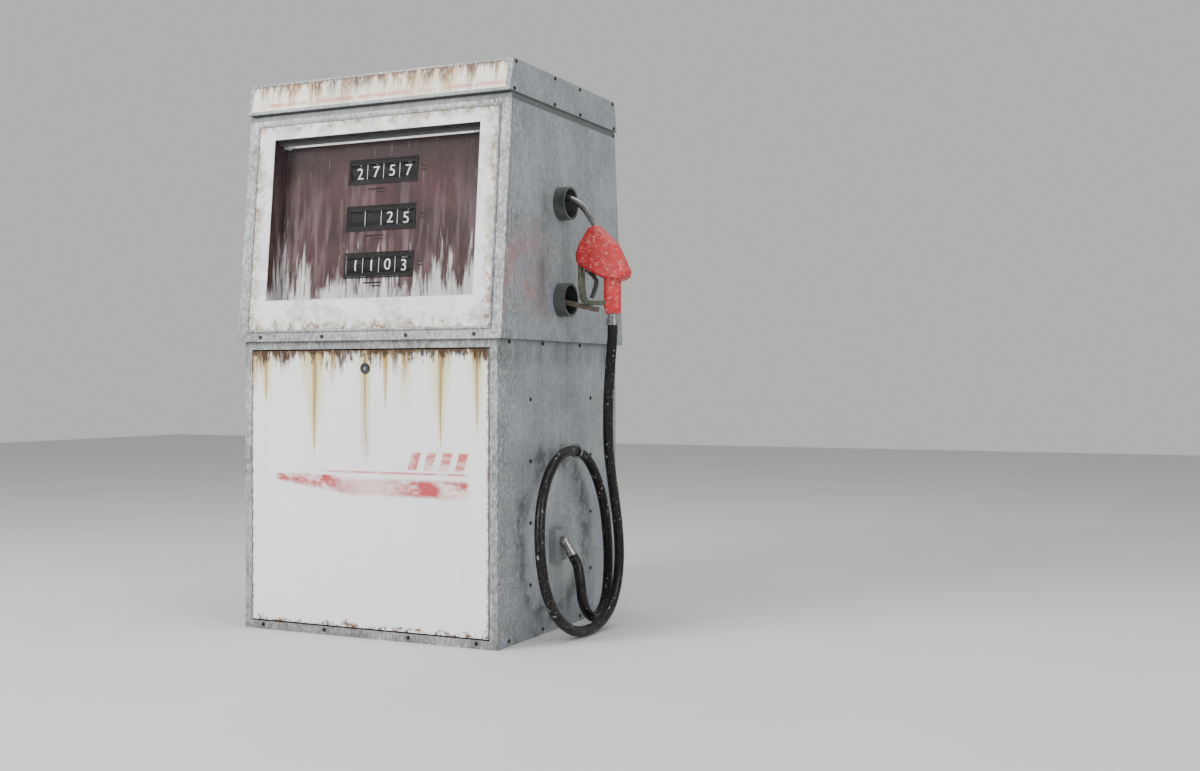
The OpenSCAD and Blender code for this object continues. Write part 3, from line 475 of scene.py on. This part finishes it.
def surround_finish():
    n = Nodes("surround paint")
    cloud = n.noise(7, 8, 0.7)
    tone = n.mix(n.fade(cloud, 0.34, 0.60), (0.68, 0.70, 0.70), (0.90, 0.90, 0.88))
    aged = n.group(weather, Color=tone, Dirt=(0.42, 0.43, 0.41), Patches=0.35, Streaks=0.35)
    color = aged["Color"]
    blotch = n.times(n.fade(n.noise(10, 8, 0.72), 0.505, 0.525),
                     n.fade(n.noise(60, 5, 0.7), 0.3, 0.6, 0.6, 1.0))
    color = n.mix(n.times(blotch, 0.75), color, (0.47, 0.50, 0.50))
    run = n.times(n.fade(n.noise(26, 4, 0.6, (1, 1, 0.08)), 0.60, 0.70),
                  n.fade(n.noise(6, 3, 0.6), 0.45, 0.6))
    color = n.mix(n.times(run, 0.5), color, (0.62, 0.52, 0.30))
    rim = n.maths("MAXIMUM", n.fade(n.maths("ABSOLUTE", n.x), 0.398, 0.438), n.fade(n.z, 1.005, 0.952))
    rim = n.maths("MAXIMUM", rim, n.fade(n.z, 1.575, 1.610))
    moss = n.times(rim, n.fade(n.noise(26, 7, 0.75), 0.42, 0.60))
    color = n.mix(n.times(moss, 0.8), color, (0.30, 0.24, 0.13))
    rust = n.times(rim, n.fade(n.noise(40, 7, 0.75), 0.52, 0.60))
    color = n.mix(rust, color, (0.20, 0.10, 0.04))
    n.bump(cloud, 0.3, 0.001)
    return n.done(color, 0.5)


def dial_finish():
    n = Nodes("dial paint")
    cloud = n.noise(8, 7, 0.7)
    tone = n.mix(n.fade(cloud, 0.3, 0.7), (0.020, 0.0055, 0.0060), (0.062, 0.020, 0.021))
    # Painted reflection: pinkish streaks on the lower dial stand for reflections in the glass.
    pink_reflection_streaks = n.times(n.fade(n.noise(26, 4, 0.6, (1, 1, 0.06)), 0.46, 0.64), n.fade(n.z, 1.52, 1.20))
    tone = n.mix(n.times(pink_reflection_streaks, 0.45), tone, (0.24, 0.165, 0.175))
    # Painted shade: the dial darkens towards the top of the display recess, under the lamp soffit.
    tone = n.mix(n.fade(n.z, 1.36, 1.58, 0.0, 0.75), tone, (0.010, 0.004, 0.005))
    fine = n.noise(60, 5, 0.65, (1, 1, 0.035))
    wide = n.noise(13, 6, 0.7, (1, 1, 0.10))
    level = n.fade(n.z, 1.45, 1.00, 0.94, 0.50)
    runs = n.maths("SUBTRACT", n.maths("ADD", n.times(fine, 0.5), n.times(wide, 0.62)), n.times(level, 0.86))
    veil = n.fade(runs, 0.0, 0.12)
    foot = n.fade(n.maths("ADD", n.z, n.times(n.noise(20, 6, 0.7, (1, 1, 0.4)), -0.24)), 0.955, 0.905)
    thin = n.times(n.fade(n.noise(120, 4, 0.6, (1, 1, 0.02)), 0.58, 0.72), 0.10)
    white = n.maths("MAXIMUM", n.maths("MAXIMUM", n.times(veil, 0.85), foot), thin)
    color = n.mix(white, tone, (0.66, 0.66, 0.65))
    n.bump(cloud, 0.2, 0.001)
    return n.done(color, 0.6, Specular_IOR_Level=0.2)


def plain_finish(name, light, dark, rough, metallic=0.0, scale=30, specks=None, low=0.60, high=0.68,
                 streak=0.2, bump=0.25, **others):
    """A mottled finish with specks of wear, for the smaller pieces."""
    n = Nodes(name)
    cloud = n.noise(scale, 7, 0.7)
    fine = n.noise(scale * 9, 4, 0.7)
    color = n.mix(n.fade(cloud, 0.32, 0.68), dark, light)
    aged = n.group(weather, Color=color, Dirt=tuple(c * 0.45 for c in dark), Patches=0.5, Streaks=streak)
    color = aged["Color"]
    if specks:
        spots = n.maths("MAXIMUM", n.fade(n.noise(scale * 2.4, 8, 0.8), low, high),
                        n.times(n.fade(fine, low + 0.06, high + 0.04), 0.7))
        color = n.mix(spots, color, specks)
    n.bump(n.maths("ADD", n.times(cloud, 0.7), n.times(fine, 0.3)), bump, 0.0012)
    return n.done(color, n.fade(cloud, 0.3, 0.7, rough - 0.08, rough + 0.08), metallic, **others)


def glass_finish():
    n = Nodes("window glass")
    dust = n.times(n.fade(n.noise(22, 7, 0.75, (1, 1, 0.25)), 0.48, 0.75),
                   n.fade(n.z, 1.56, 1.06, 0.25, 1.0))
    n.link(n.fade(dust, 0.0, 1.0, 0.004, 0.022), n.shader.inputs["Alpha"])
    return n.done((0.80, 0.84, 0.84), 0.06, IOR=1.5)


weather = weather_group()


def make_finishes():
    made = {
        "galvanised": zinc_finish("zinc sheet", (0.26, 0.290, 0.312), (0.36, 0.392, 0.412),
                                  (0.205, 0.232, 0.252), True),
        # Painted light: the front faces get a lighter copy of the same zinc, standing for the light that
        # falls on them.
        "zinc_front_painted_light": zinc_finish("zinc front painted lighter", (0.30, 0.315, 0.312), (0.44, 0.455, 0.45),
                                  (0.20, 0.21, 0.206), False),
        "frame_paint": plain_finish("frame paint", (0.13, 0.14, 0.15), (0.08, 0.085, 0.09), 0.6, 0.2,
                                    specks=(0.20, 0.10, 0.05)),
        "door_paint": door_finish(),
        "fascia_paint": fascia_finish(),
        "surround_paint": surround_finish(),
        "dial_paint": dial_finish(),
        "motor_paint": plain_finish("motor enamel", (0.07, 0.14, 0.20), (0.04, 0.09, 0.13), 0.45, 0.1,
                                    specks=(0.03, 0.03, 0.03)),
        "castings": plain_finish("cast iron", (0.13, 0.14, 0.14), (0.07, 0.075, 0.08), 0.7, 0.4,
                                 specks=(0.18, 0.10, 0.06)),
        "valve_paint": plain_finish("aged brass", (0.42, 0.30, 0.10), (0.24, 0.16, 0.06), 0.4, 0.9),
        "pipes": plain_finish("pipe steel", (0.17, 0.17, 0.17), (0.10, 0.10, 0.10), 0.55, 0.6,
                              specks=(0.22, 0.12, 0.07)),
        "belt_rubber": plain_finish("belt rubber", (0.022, 0.022, 0.022), (0.012, 0.012, 0.012), 0.75),
        "pulleys": plain_finish("turned iron", (0.30, 0.30, 0.31), (0.20, 0.20, 0.21), 0.4, 0.8),
        "steel": plain_finish("worn steel", (0.42, 0.42, 0.43), (0.28, 0.28, 0.29), 0.35, 0.95),
        "lock_metal": plain_finish("lock casting", (0.055, 0.055, 0.058), (0.03, 0.03, 0.03), 0.45, 0.6),
        "glass": glass_finish(),
        "lamp_glass": plain_finish("lamp glass", (0.88, 0.88, 0.86), (0.78, 0.78, 0.75), 0.25, 0.0, 12,
                                   Emission_Color=(1, 1, 0.98, 1), Emission_Strength=0.5),
        "lamp_plastic": plain_finish("lamp holder", (0.45, 0.45, 0.42), (0.30, 0.30, 0.28), 0.6, 0.0, 60),
        "screws": plain_finish("blackened steel", (0.055, 0.055, 0.058), (0.028, 0.026, 0.025), 0.5, 0.7,
                               200, specks=(0.14, 0.08, 0.05)),
        "cup_paint": plain_finish("cup enamel", (0.12, 0.135, 0.128), (0.055, 0.066, 0.062), 0.4, 0.3, 24,
                                  specks=(0.30, 0.32, 0.31), low=0.66, high=0.72, streak=0.5),
        "arm_steel": plain_finish("rusty arm", (0.24, 0.20, 0.17), (0.13, 0.10, 0.085), 0.7, 0.3, 50,
                                  specks=(0.24, 0.12, 0.06)),
        "nozzle_metal": plain_finish("cast alloy", (0.40, 0.40, 0.40), (0.28, 0.28, 0.28), 0.45, 0.8, 60),
        "nozzle_plastic": plain_finish("red moulding", (0.66, 0.028, 0.030), (0.46, 0.016, 0.018), 0.45, 0.0,
                                       34, specks=(0.80, 0.30, 0.29), low=0.52, high=0.64, streak=0.1,
                                       bump=0.35),
        "spout_steel": plain_finish("spout steel", (0.34, 0.34, 0.34), (0.17, 0.17, 0.17), 0.3, 0.85, 40,
                                    specks=(0.35, 0.33, 0.31), low=0.66, high=0.70),
        "guard_metal": plain_finish("mossy guard", (0.20, 0.22, 0.165), (0.085, 0.10, 0.065), 0.65, 0.3, 45,
                                    specks=(0.42, 0.43, 0.38)),
        "trigger_metal": plain_finish("trigger", (0.09, 0.09, 0.09), (0.05, 0.05, 0.05), 0.45, 0.6, 60),
        "fittings": plain_finish("fitting steel", (0.42, 0.42, 0.43), (0.24, 0.24, 0.245), 0.28, 0.9, 70,
                                 specks=(0.14, 0.09, 0.06)),
        "outlet_paint": plain_finish("outlet box paint", (0.25, 0.27, 0.28), (0.17, 0.185, 0.195), 0.5, 0.2,
                                     26, specks=(0.10, 0.09, 0.08), streak=0.5),
        "hose_rubber": plain_finish("hose rubber", (0.010, 0.010, 0.0105), (0.005, 0.005, 0.005), 0.32, 0.0,
                                    30, specks=(0.55, 0.55, 0.53), low=0.605, high=0.63, bump=0.3,
                                    Specular_IOR_Level=0.25),
        "wheel_plastic": plain_finish("wheel black", (0.006, 0.006, 0.006), (0.003, 0.003, 0.003), 0.6, 0.0,
                                      60, Specular_IOR_Level=0.12),
        "digit_white": plain_finish("digit white", (0.80, 0.80, 0.77), (0.62, 0.62, 0.60), 0.5, 0.0, 60),
        "soffit": plain_finish("lamp soffit", (0.030, 0.036, 0.030), (0.014, 0.018, 0.014), 0.7, 0.0, 14),
    }
    return made


finishes = {}


# ---- settings ----

class DispenserSettings(bpy.types.PropertyGroup):
    """Sizes and colours that a user would change."""
    hose_diameter: FloatProperty(name="Hose diameter", description="Outside of the hose", default=0.032,
                                 unit="LENGTH")
    hose_sides: IntProperty(name="Hose sides", description="Sides of the hose's tube", default=24, min=8)
    screw_radius: FloatProperty(name="Screw head radius", description="Radius of a panel screw's head",
                                default=0.006, unit="LENGTH")
    digit_height: FloatProperty(name="Digit height", description="Height of a printed digit", default=0.036,
                                unit="LENGTH")
    bead_radius: FloatProperty(name="Bead radius", description="Radius of the rolled edge round the display",
                               default=0.0045, unit="LENGTH")
    floor_color: FloatVectorProperty(name="Floor colour", description="Colour of the studio floor",
                                     subtype="COLOR", default=(0.62, 0.61, 0.60))


class DISPENSER_OT_camera(bpy.types.Operator):
    """Place the camera and the studio round the dispenser"""
    bl_idname = "dispenser.camera"
    bl_label = "Camera and studio"

    def execute(self, context):
        camera = bpy.data.cameras.new("camera")
        camera.lens = 40.65
        camera.sensor_width = 36
        camera.shift_y = -0.0028
        eye = bpy.data.objects.new("camera", camera)
        eye.location = (2.403, -3.894, 0.787)
        eye.rotation_euler = (math.pi / 2, 0, 0.4341)
        context.scene.collection.objects.link(eye)
        context.scene.camera = eye
        world = bpy.data.worlds.new("studio")
        context.scene.world = world
        world.use_nodes = True
        world.node_tree.nodes["Background"].inputs[0].default_value = (0.80, 0.80, 0.79, 1)
        world.node_tree.nodes["Background"].inputs[1].default_value = 0.72
        lamps = (("key", (-2.4, -4.6, 3.6), 2.6, 400), ("fill", (4.5, -2.0, 2.8), 3.0, 110),
                 ("top", (0.5, 0.5, 5.0), 4.0, 120))
        for name, place, size, power in lamps:
            lamp = bpy.data.lights.new(name, "AREA")
            lamp.size = size
            lamp.energy = power
            obj = bpy.data.objects.new(name, lamp)
            obj.location = place
            obj.rotation_euler = (Vector((0, 0, 0.8)) - obj.location).to_track_quat("-Z", "Y").to_euler()
            context.scene.collection.objects.link(obj)
        bm = bmesh.new()
        add_block(bm, (-12, -12, -0.02), (12, 12, 0))
        n = Nodes("studio floor")
        tint = tuple(context.scene.dispenser.floor_color)
        cloud = n.noise(1.5, 4, 0.5)
        floor = finish_mesh(bm, "floor", n.done(
            n.mix(n.fade(cloud, 0.3, 0.7), tuple(c * 0.96 for c in tint), tint), 0.9))
        return {"FINISHED"}


class DISPENSER_OT_hose(bpy.types.Operator):
    """Make the hose along its route"""
    bl_idname = "dispenser.hose"
    bl_label = "Hose"

    def execute(self, context):
        settings = context.scene.dispenser
        line = spline_points(HOSE_ROUTE, 8)
        hose = finish_mesh(sweep(line, settings.hose_diameter / 2, settings.hose_sides), "hose_tube",
                           finishes["hose_rubber"], True)
        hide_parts("hose")
        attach(hose, "dispenser")
        return {"FINISHED"}


class DISPENSER_OT_finishes(bpy.types.Operator):
    """Give every frame node its finish"""
    bl_idname = "dispenser.finishes"
    bl_label = "Finishes"

    def execute(self, context):
        slots = {part["node"]: part["material_slot"] for part in frame["record"]["subparts"]}
        front = {"head_front_frame", "front_surround"}
        for node, obj in frame["nodes"].items():
            # The front nodes and the display bead take the lighter zinc copy, which is painted light.
            finish = finishes["zinc_front_painted_light" if node in front else slots[node]]
            obj.data.materials.clear()
            obj.data.materials.append(finish)
        return {"FINISHED"}


def softened(node, name, voxel, passes, body, slot):
    """A copy of a node with its edges rounded, as a moulding's or casting's are."""
    source = frame["nodes"][node]
    mesh = source.data.copy()
    obj = new_object(name, mesh, finishes[slot])
    remesh = obj.modifiers.new("remesh", "REMESH")
    remesh.mode = "VOXEL"
    remesh.voxel_size = voxel
    smooth = obj.modifiers.new("smooth", "SMOOTH")
    smooth.factor = 0.5
    smooth.iterations = passes
    context = bpy.context.evaluated_depsgraph_get()
    made = bpy.data.meshes.new_from_object(obj.evaluated_get(context))
    obj.modifiers.clear()
    obj.data = made
    made.materials.clear()
    made.materials.append(finishes[slot])
    made.shade_smooth()
    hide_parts(node)
    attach(obj, body)
    return obj


class DISPENSER_OT_mouldings(bpy.types.Operator):
    """Round the edges of the nozzle's moulding, its guard and trigger, and the cast pieces"""
    bl_idname = "dispenser.mouldings"
    bl_label = "Mouldings and castings"

    def execute(self, context):
        softened("nozzle_cover", "nozzle_moulding", 0.0016, 14, "nozzle", "nozzle_plastic")
        softened("nozzle_guard", "nozzle_guard_bar", 0.0011, 4, "nozzle", "guard_metal")
        softened("nozzle_trigger", "trigger_lever", 0.0010, 3, "trigger", "trigger_metal")
        softened("rest_lever", "rest_arm_bar", 0.0012, 4, "rest_arm", "arm_steel")
        softened("pump_unit", "pump_casting", 0.004, 4, "dispenser", "castings")
        softened("flow_meter", "meter_casting", 0.003, 3, "dispenser", "castings")
        return {"FINISHED"}


def wrap_on_wheel(bm, centre, turn, radius):
    """Bend flat lettering round a wheel: x runs along the axle and y round the rim."""
    for vert in bm.verts:
        angle = turn + vert.co.y / radius
        out = radius + vert.co.z
        face = Vector((vert.co.x, math.sin(angle) * out, math.cos(angle) * out))
        vert.co = centre + Matrix.Rotation(math.pi / 2 - LEAN, 3, "X") @ face


class DISPENSER_OT_digits(bpy.types.Operator):
    """Print the digits round every number wheel"""
    bl_idname = "dispenser.digits"
    bl_label = "Wheel digits"

    def execute(self, context):
        height = context.scene.dispenser.digit_height
        for row, name in enumerate(ROWS):
            for place, rank in enumerate(PLACES):
                shown = SHOWN[name][place]
                first = 0 if shown == " " else int(shown)
                centre = on_face((place - 1.5) * 0.060, COUNTER_V[row], AXLE_W)
                sag = (-0.05, 0.0, 0.02, -0.02)[place] if name == "total" else (0.02, 0, 0.03, -0.04)[place]
                whole = bmesh.new()
                for digit in range(10):
                    if shown == " " and digit == 0:
                        continue
                    text = bpy.data.curves.new("digit", "FONT")
                    text.body = str(digit)
                    text.align_x = "CENTER"
                    text.size = height / 0.70
                    text.offset = -0.0002
                    text.extrude = 0.0002
                    text.resolution_u = 4
                    holder = bpy.data.objects.new("digit", text)
                    context.scene.collection.objects.link(holder)
                    bpy.context.view_layer.update()
                    mesh = bpy.data.meshes.new_from_object(
                        holder.evaluated_get(bpy.context.evaluated_depsgraph_get()))
                    bpy.data.objects.remove(holder)
                    bpy.data.curves.remove(text)
                    bm = bmesh.new()
                    bm.from_mesh(mesh)
                    bpy.data.meshes.remove(mesh)
                    bmesh.ops.remove_doubles(bm, verts=bm.verts, dist=1e-6)
                    low = min(v.co.y for v in bm.verts)
                    high = max(v.co.y for v in bm.verts)
                    wide = max(v.co.x for v in bm.verts) - min(v.co.x for v in bm.verts)
                    for vert in bm.verts:
                        vert.co.y -= (low + high) / 2
                        vert.co.x *= DIGIT_WIDTH / max(wide, FONT_WIDTH)
                    for k in range(-7, 8):
                        parts = bm.verts[:] + bm.edges[:] + bm.faces[:]
                        bmesh.ops.bisect_plane(bm, geom=parts, plane_co=(0, k * 0.0025, 0),
                                               plane_no=(0, 1, 0))
                    wrap_on_wheel(bm, centre, sag - (digit - first) * math.pi / 5, WHEEL_R + 0.0003)
                    part = bpy.data.meshes.new("digit")
                    bm.to_mesh(part)
                    bm.free()
                    whole.from_mesh(part)
                    bpy.data.meshes.remove(part)
                body = f"{name}_{rank}_wheel"
                digits = finish_mesh(whole, f"{name}_{rank}_digits", finishes["digit_white"])
                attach(digits, body)
        return {"FINISHED"}


class DISPENSER_OT_display(bpy.types.Operator):
    """Make the rolled bead, the counters' frames, the dial's marks and the lamp's soffit"""
    bl_idname = "dispenser.display"
    bl_label = "Display details"

    def execute(self, context):
        reach = context.scene.dispenser.bead_radius
        line = []
        low, high, half, corner = 0.0315, 0.7005, 0.4445, 0.014
        for cu, cv, turn in ((half - corner, low + corner, -90), (half - corner, high - corner, 0),
                             (-half + corner, high - corner, 90), (-half + corner, low + corner, 180)):
            for k in range(7):
                a = math.radians(turn + 15 * k)
                line.append(on_face(cu + corner * math.cos(a), cv + corner * math.sin(a), 0.001))
        bead = finish_mesh(sweep(line, reach, 12, True), "display_bead", finishes["zinc_front_painted_light"], True)
        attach(bead, "dispenser")
        bm = bmesh.new()
        for v in COUNTER_V:
            for u0, v0, u1, v1 in ((-0.128, 0.0365, 0.128, 0.0405), (-0.128, -0.0405, 0.128, -0.0365),
                                   (-0.128, -0.0365, -0.1235, 0.0365), (0.1235, -0.0365, 0.128, 0.0365)):
                add_block(bm, (u0, v + v0, -0.0618), (u1, v + v1, -0.0592), on_face)
            for v0, v1 in ((-0.0354, -0.0232), (0.0232, 0.0354)):
                add_block(bm, (-0.1212, v + v0, -0.0640), (0.1212, v + v1, -0.0628), on_face)
        frames = finish_mesh(bm, "counter_frames", finishes["wheel_plastic"])
        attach(frames, "dispenser")
        bm = bmesh.new()
        for v in COUNTER_V:
            for u in (-0.06, 0.0, 0.06):
                add_block(bm, (u - 0.0007, v - 0.0230, -0.0638), (u + 0.0007, v + 0.0230, -0.0630), on_face)
        lines = finish_mesh(bm, "counter_lines", finishes["digit_white"])
        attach(lines, "dispenser")
        bm = bmesh.new()
        for v in COUNTER_V:
            for u, at, wide, tall in ((-0.020, -0.056, 0.066, 0.0045), (-0.006, -0.066, 0.038, 0.0030),
                                      (0.150, 0.006, 0.020, 0.0040), (0.150, -0.006, 0.020, 0.0040)):
                add_block(bm, (u - wide / 2, v + at - tall / 2, -0.0616),
                          (u + wide / 2, v + at + tall / 2, -0.0608), on_face)
        marks = finish_mesh(bm, "dial_marks", finishes["wheel_plastic"])
        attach(marks, "dispenser")
        bm = bmesh.new()
        add_block(bm, (-0.3835, 0.6525, -0.0605), (0.3835, 0.6538, -0.0075), on_face)
        add_block(bm, (-0.3838, 0.6355, -0.0300), (0.3838, 0.6538, -0.0296), on_face)
        soffit = finish_mesh(bm, "lamp_soffit", finishes["soffit"])
        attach(soffit, "dispenser")
        bm = bmesh.new()
        for s in (-1, 1):
            for k in range(3):
                u = s * (LAMP_HALF - 0.005 - 0.008 * k)
                line = [on_face(u - 0.002, LAMP_V, LAMP_W), on_face(u + 0.002, LAMP_V, LAMP_W)]
                ring = sweep(line, 0.0086, 20)
                part = bpy.data.meshes.new("ring")
                ring.to_mesh(part)
                ring.free()
                bm.from_mesh(part)
                bpy.data.meshes.remove(part)
        caps = finish_mesh(bm, "lamp_caps", finishes["steel"], False)
        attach(caps, "dispenser")
        return {"FINISHED"}


def screw_tree(material):
    """Puts a hexagonal screw head with a washer on each point, turned to the point's own direction."""
    tree = bpy.data.node_groups.new("screw heads", "GeometryNodeTree")
    face = tree.interface
    face.new_socket("Geometry", in_out="INPUT", socket_type="NodeSocketGeometry")
    for name, value in (("Radius", 0.006), ("Height", 0.0026)):
        socket = face.new_socket(name, in_out="INPUT", socket_type="NodeSocketFloat")
        socket.default_value = value
    seed = face.new_socket("Seed", in_out="INPUT", socket_type="NodeSocketInt")
    seed.default_value = 7
    face.new_socket("Geometry", in_out="OUTPUT", socket_type="NodeSocketGeometry")
    start = tree.nodes.new("NodeGroupInput")
    end = tree.nodes.new("NodeGroupOutput")
    link = tree.links.new
    washer = tree.nodes.new("GeometryNodeMeshCylinder")
    washer.inputs["Vertices"].default_value = 24
    washer.inputs["Depth"].default_value = 0.0012
    link(start.outputs["Radius"], washer.inputs["Radius"])
    dome = tree.nodes.new("GeometryNodeMeshCone")
    dome.inputs["Vertices"].default_value = 6
    dome.inputs["Radius Top"].default_value = 0.0034
    dome.inputs["Radius Bottom"].default_value = 0.0046
    link(start.outputs["Height"], dome.inputs["Depth"])
    lift = tree.nodes.new("GeometryNodeTransform")
    lift.inputs["Translation"].default_value = (0, 0, 0.0003)
    link(dome.outputs["Mesh"], lift.inputs["Geometry"])
    both = tree.nodes.new("GeometryNodeJoinGeometry")
    link(washer.outputs["Mesh"], both.inputs[0])
    link(lift.outputs[0], both.inputs[0])
    out = tree.nodes.new("GeometryNodeInputNamedAttribute")
    out.data_type = "FLOAT_VECTOR"
    out.inputs["Name"].default_value = "out"
    aim = tree.nodes.new("FunctionNodeAlignRotationToVector")
    aim.axis = "Z"
    link(out.outputs[0], aim.inputs["Vector"])
    spin = tree.nodes.new("FunctionNodeRandomValue")
    spin.data_type = "FLOAT"
    spin.inputs[3].default_value = 3.1
    link(start.outputs["Seed"], spin.inputs["Seed"])
    turn = tree.nodes.new("FunctionNodeAxisAngleToRotation")
    link(spin.outputs[1], turn.inputs["Angle"])
    joined = tree.nodes.new("FunctionNodeRotateRotation")
    joined.rotation_space = "LOCAL"
    link(aim.outputs[0], joined.inputs[0])
    link(turn.outputs[0], joined.inputs[1])
    put = tree.nodes.new("GeometryNodeInstanceOnPoints")
    link(start.outputs[0], put.inputs["Points"])
    link(both.outputs[0], put.inputs["Instance"])
    link(joined.outputs[0], put.inputs["Rotation"])
    real = tree.nodes.new("GeometryNodeRealizeInstances")
    link(put.outputs[0], real.inputs[0])
    paint = tree.nodes.new("GeometryNodeSetMaterial")
    paint.inputs["Material"].default_value = material
    link(real.outputs[0], paint.inputs["Geometry"])
    link(paint.outputs[0], end.inputs[0])
    return tree


class DISPENSER_OT_screws(bpy.types.Operator):
    """Put a screw head in every panel hole"""
    bl_idname = "dispenser.screws"
    bl_label = "Screws"

    def execute(self, context):
        heads = []
        source = frame["nodes"]["panel_screws"].data
        bm = bmesh.new()
        bm.from_mesh(source)
        bmesh.ops.remove_doubles(bm, verts=bm.verts, dist=1e-6)
        seen = set()
        for vert in bm.verts:
            if vert in seen:
                continue
            island, stack = [], [vert]
            seen.add(vert)
            while stack:
                here = stack.pop()
                island.append(here)
                for edge in here.link_edges:
                    there = edge.other_vert(here)
                    if there not in seen:
                        seen.add(there)
                        stack.append(there)
            points = [v.co.copy() for v in island]
            middle = sum(points, Vector()) / len(points)
            side = Vector((math.copysign(1, middle.x), 0, 0)) if abs(middle.x) > 0.44 else \
                Vector((0, math.copysign(1, middle.y), 0))
            if side.y and middle.z > 0.92:
                side = Vector((0, side.y * math.cos(LEAN), math.sin(LEAN)))
            top = max(p.dot(side) for p in points)
            across = [p - side * p.dot(side) for p in points]
            low = Vector([min(p[i] for p in across) for i in range(3)])
            high = Vector([max(p[i] for p in across) for i in range(3)])
            heads.append(((low + high) / 2 + side * (top - 0.0012), side))
        bm.free()
        mesh = bpy.data.meshes.new("screw_points")
        mesh.from_pydata([p for p, _ in heads], [], [])
        out = mesh.attributes.new("out", "FLOAT_VECTOR", "POINT")
        for i, (_, side) in enumerate(heads):
            out.data[i].vector = side
        obj = new_object("screw_heads", mesh)
        modifier = obj.modifiers.new("heads", "NODES")
        modifier.node_group = screw_tree(finishes["screws"])
        radius = next(i for i in modifier.node_group.interface.items_tree if i.name == "Radius")
        modifier[radius.identifier] = context.scene.dispenser.screw_radius
        context.view_layer.update()
        made = bpy.data.meshes.new_from_object(obj.evaluated_get(context.evaluated_depsgraph_get()))
        obj.modifiers.clear()
        obj.data = made
        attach(obj, "dispenser")
        return {"FINISHED"}


class DISPENSER_PT_panel(bpy.types.Panel):
    """Lists the dispenser's makers"""
    bl_label = "Dispenser"
    bl_idname = "DISPENSER_PT_panel"
    bl_space_type = "VIEW_3D"
    bl_region_type = "UI"
    bl_category = "Dispenser"

    def draw(self, context):
        for name in DispenserSettings.__annotations__:
            self.layout.prop(context.scene.dispenser, name)
        for operator in OPERATORS:
            self.layout.operator(operator.bl_idname)


OPERATORS = (DISPENSER_OT_camera, DISPENSER_OT_hose, DISPENSER_OT_finishes, DISPENSER_OT_mouldings,
             DISPENSER_OT_digits, DISPENSER_OT_display, DISPENSER_OT_screws)
CLASSES = (DispenserSettings, *OPERATORS, DISPENSER_PT_panel)


def register():
    for cls in CLASSES:
        bpy.utils.register_class(cls)
    bpy.types.Scene.dispenser = PointerProperty(type=DispenserSettings)


def unregister():
    del bpy.types.Scene.dispenser
    for cls in reversed(CLASSES):
        bpy.utils.unregister_class(cls)


def main():
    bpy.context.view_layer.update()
    register()
    finishes.update(make_finishes())
    bpy.ops.dispenser.camera()
    bpy.ops.dispenser.hose()
    bpy.ops.dispenser.finishes()
    bpy.ops.dispenser.mouldings()
    bpy.ops.dispenser.digits()
    bpy.ops.dispenser.display()
    bpy.ops.dispenser.screws()
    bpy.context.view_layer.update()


if __name__ == "__main__":
    main()
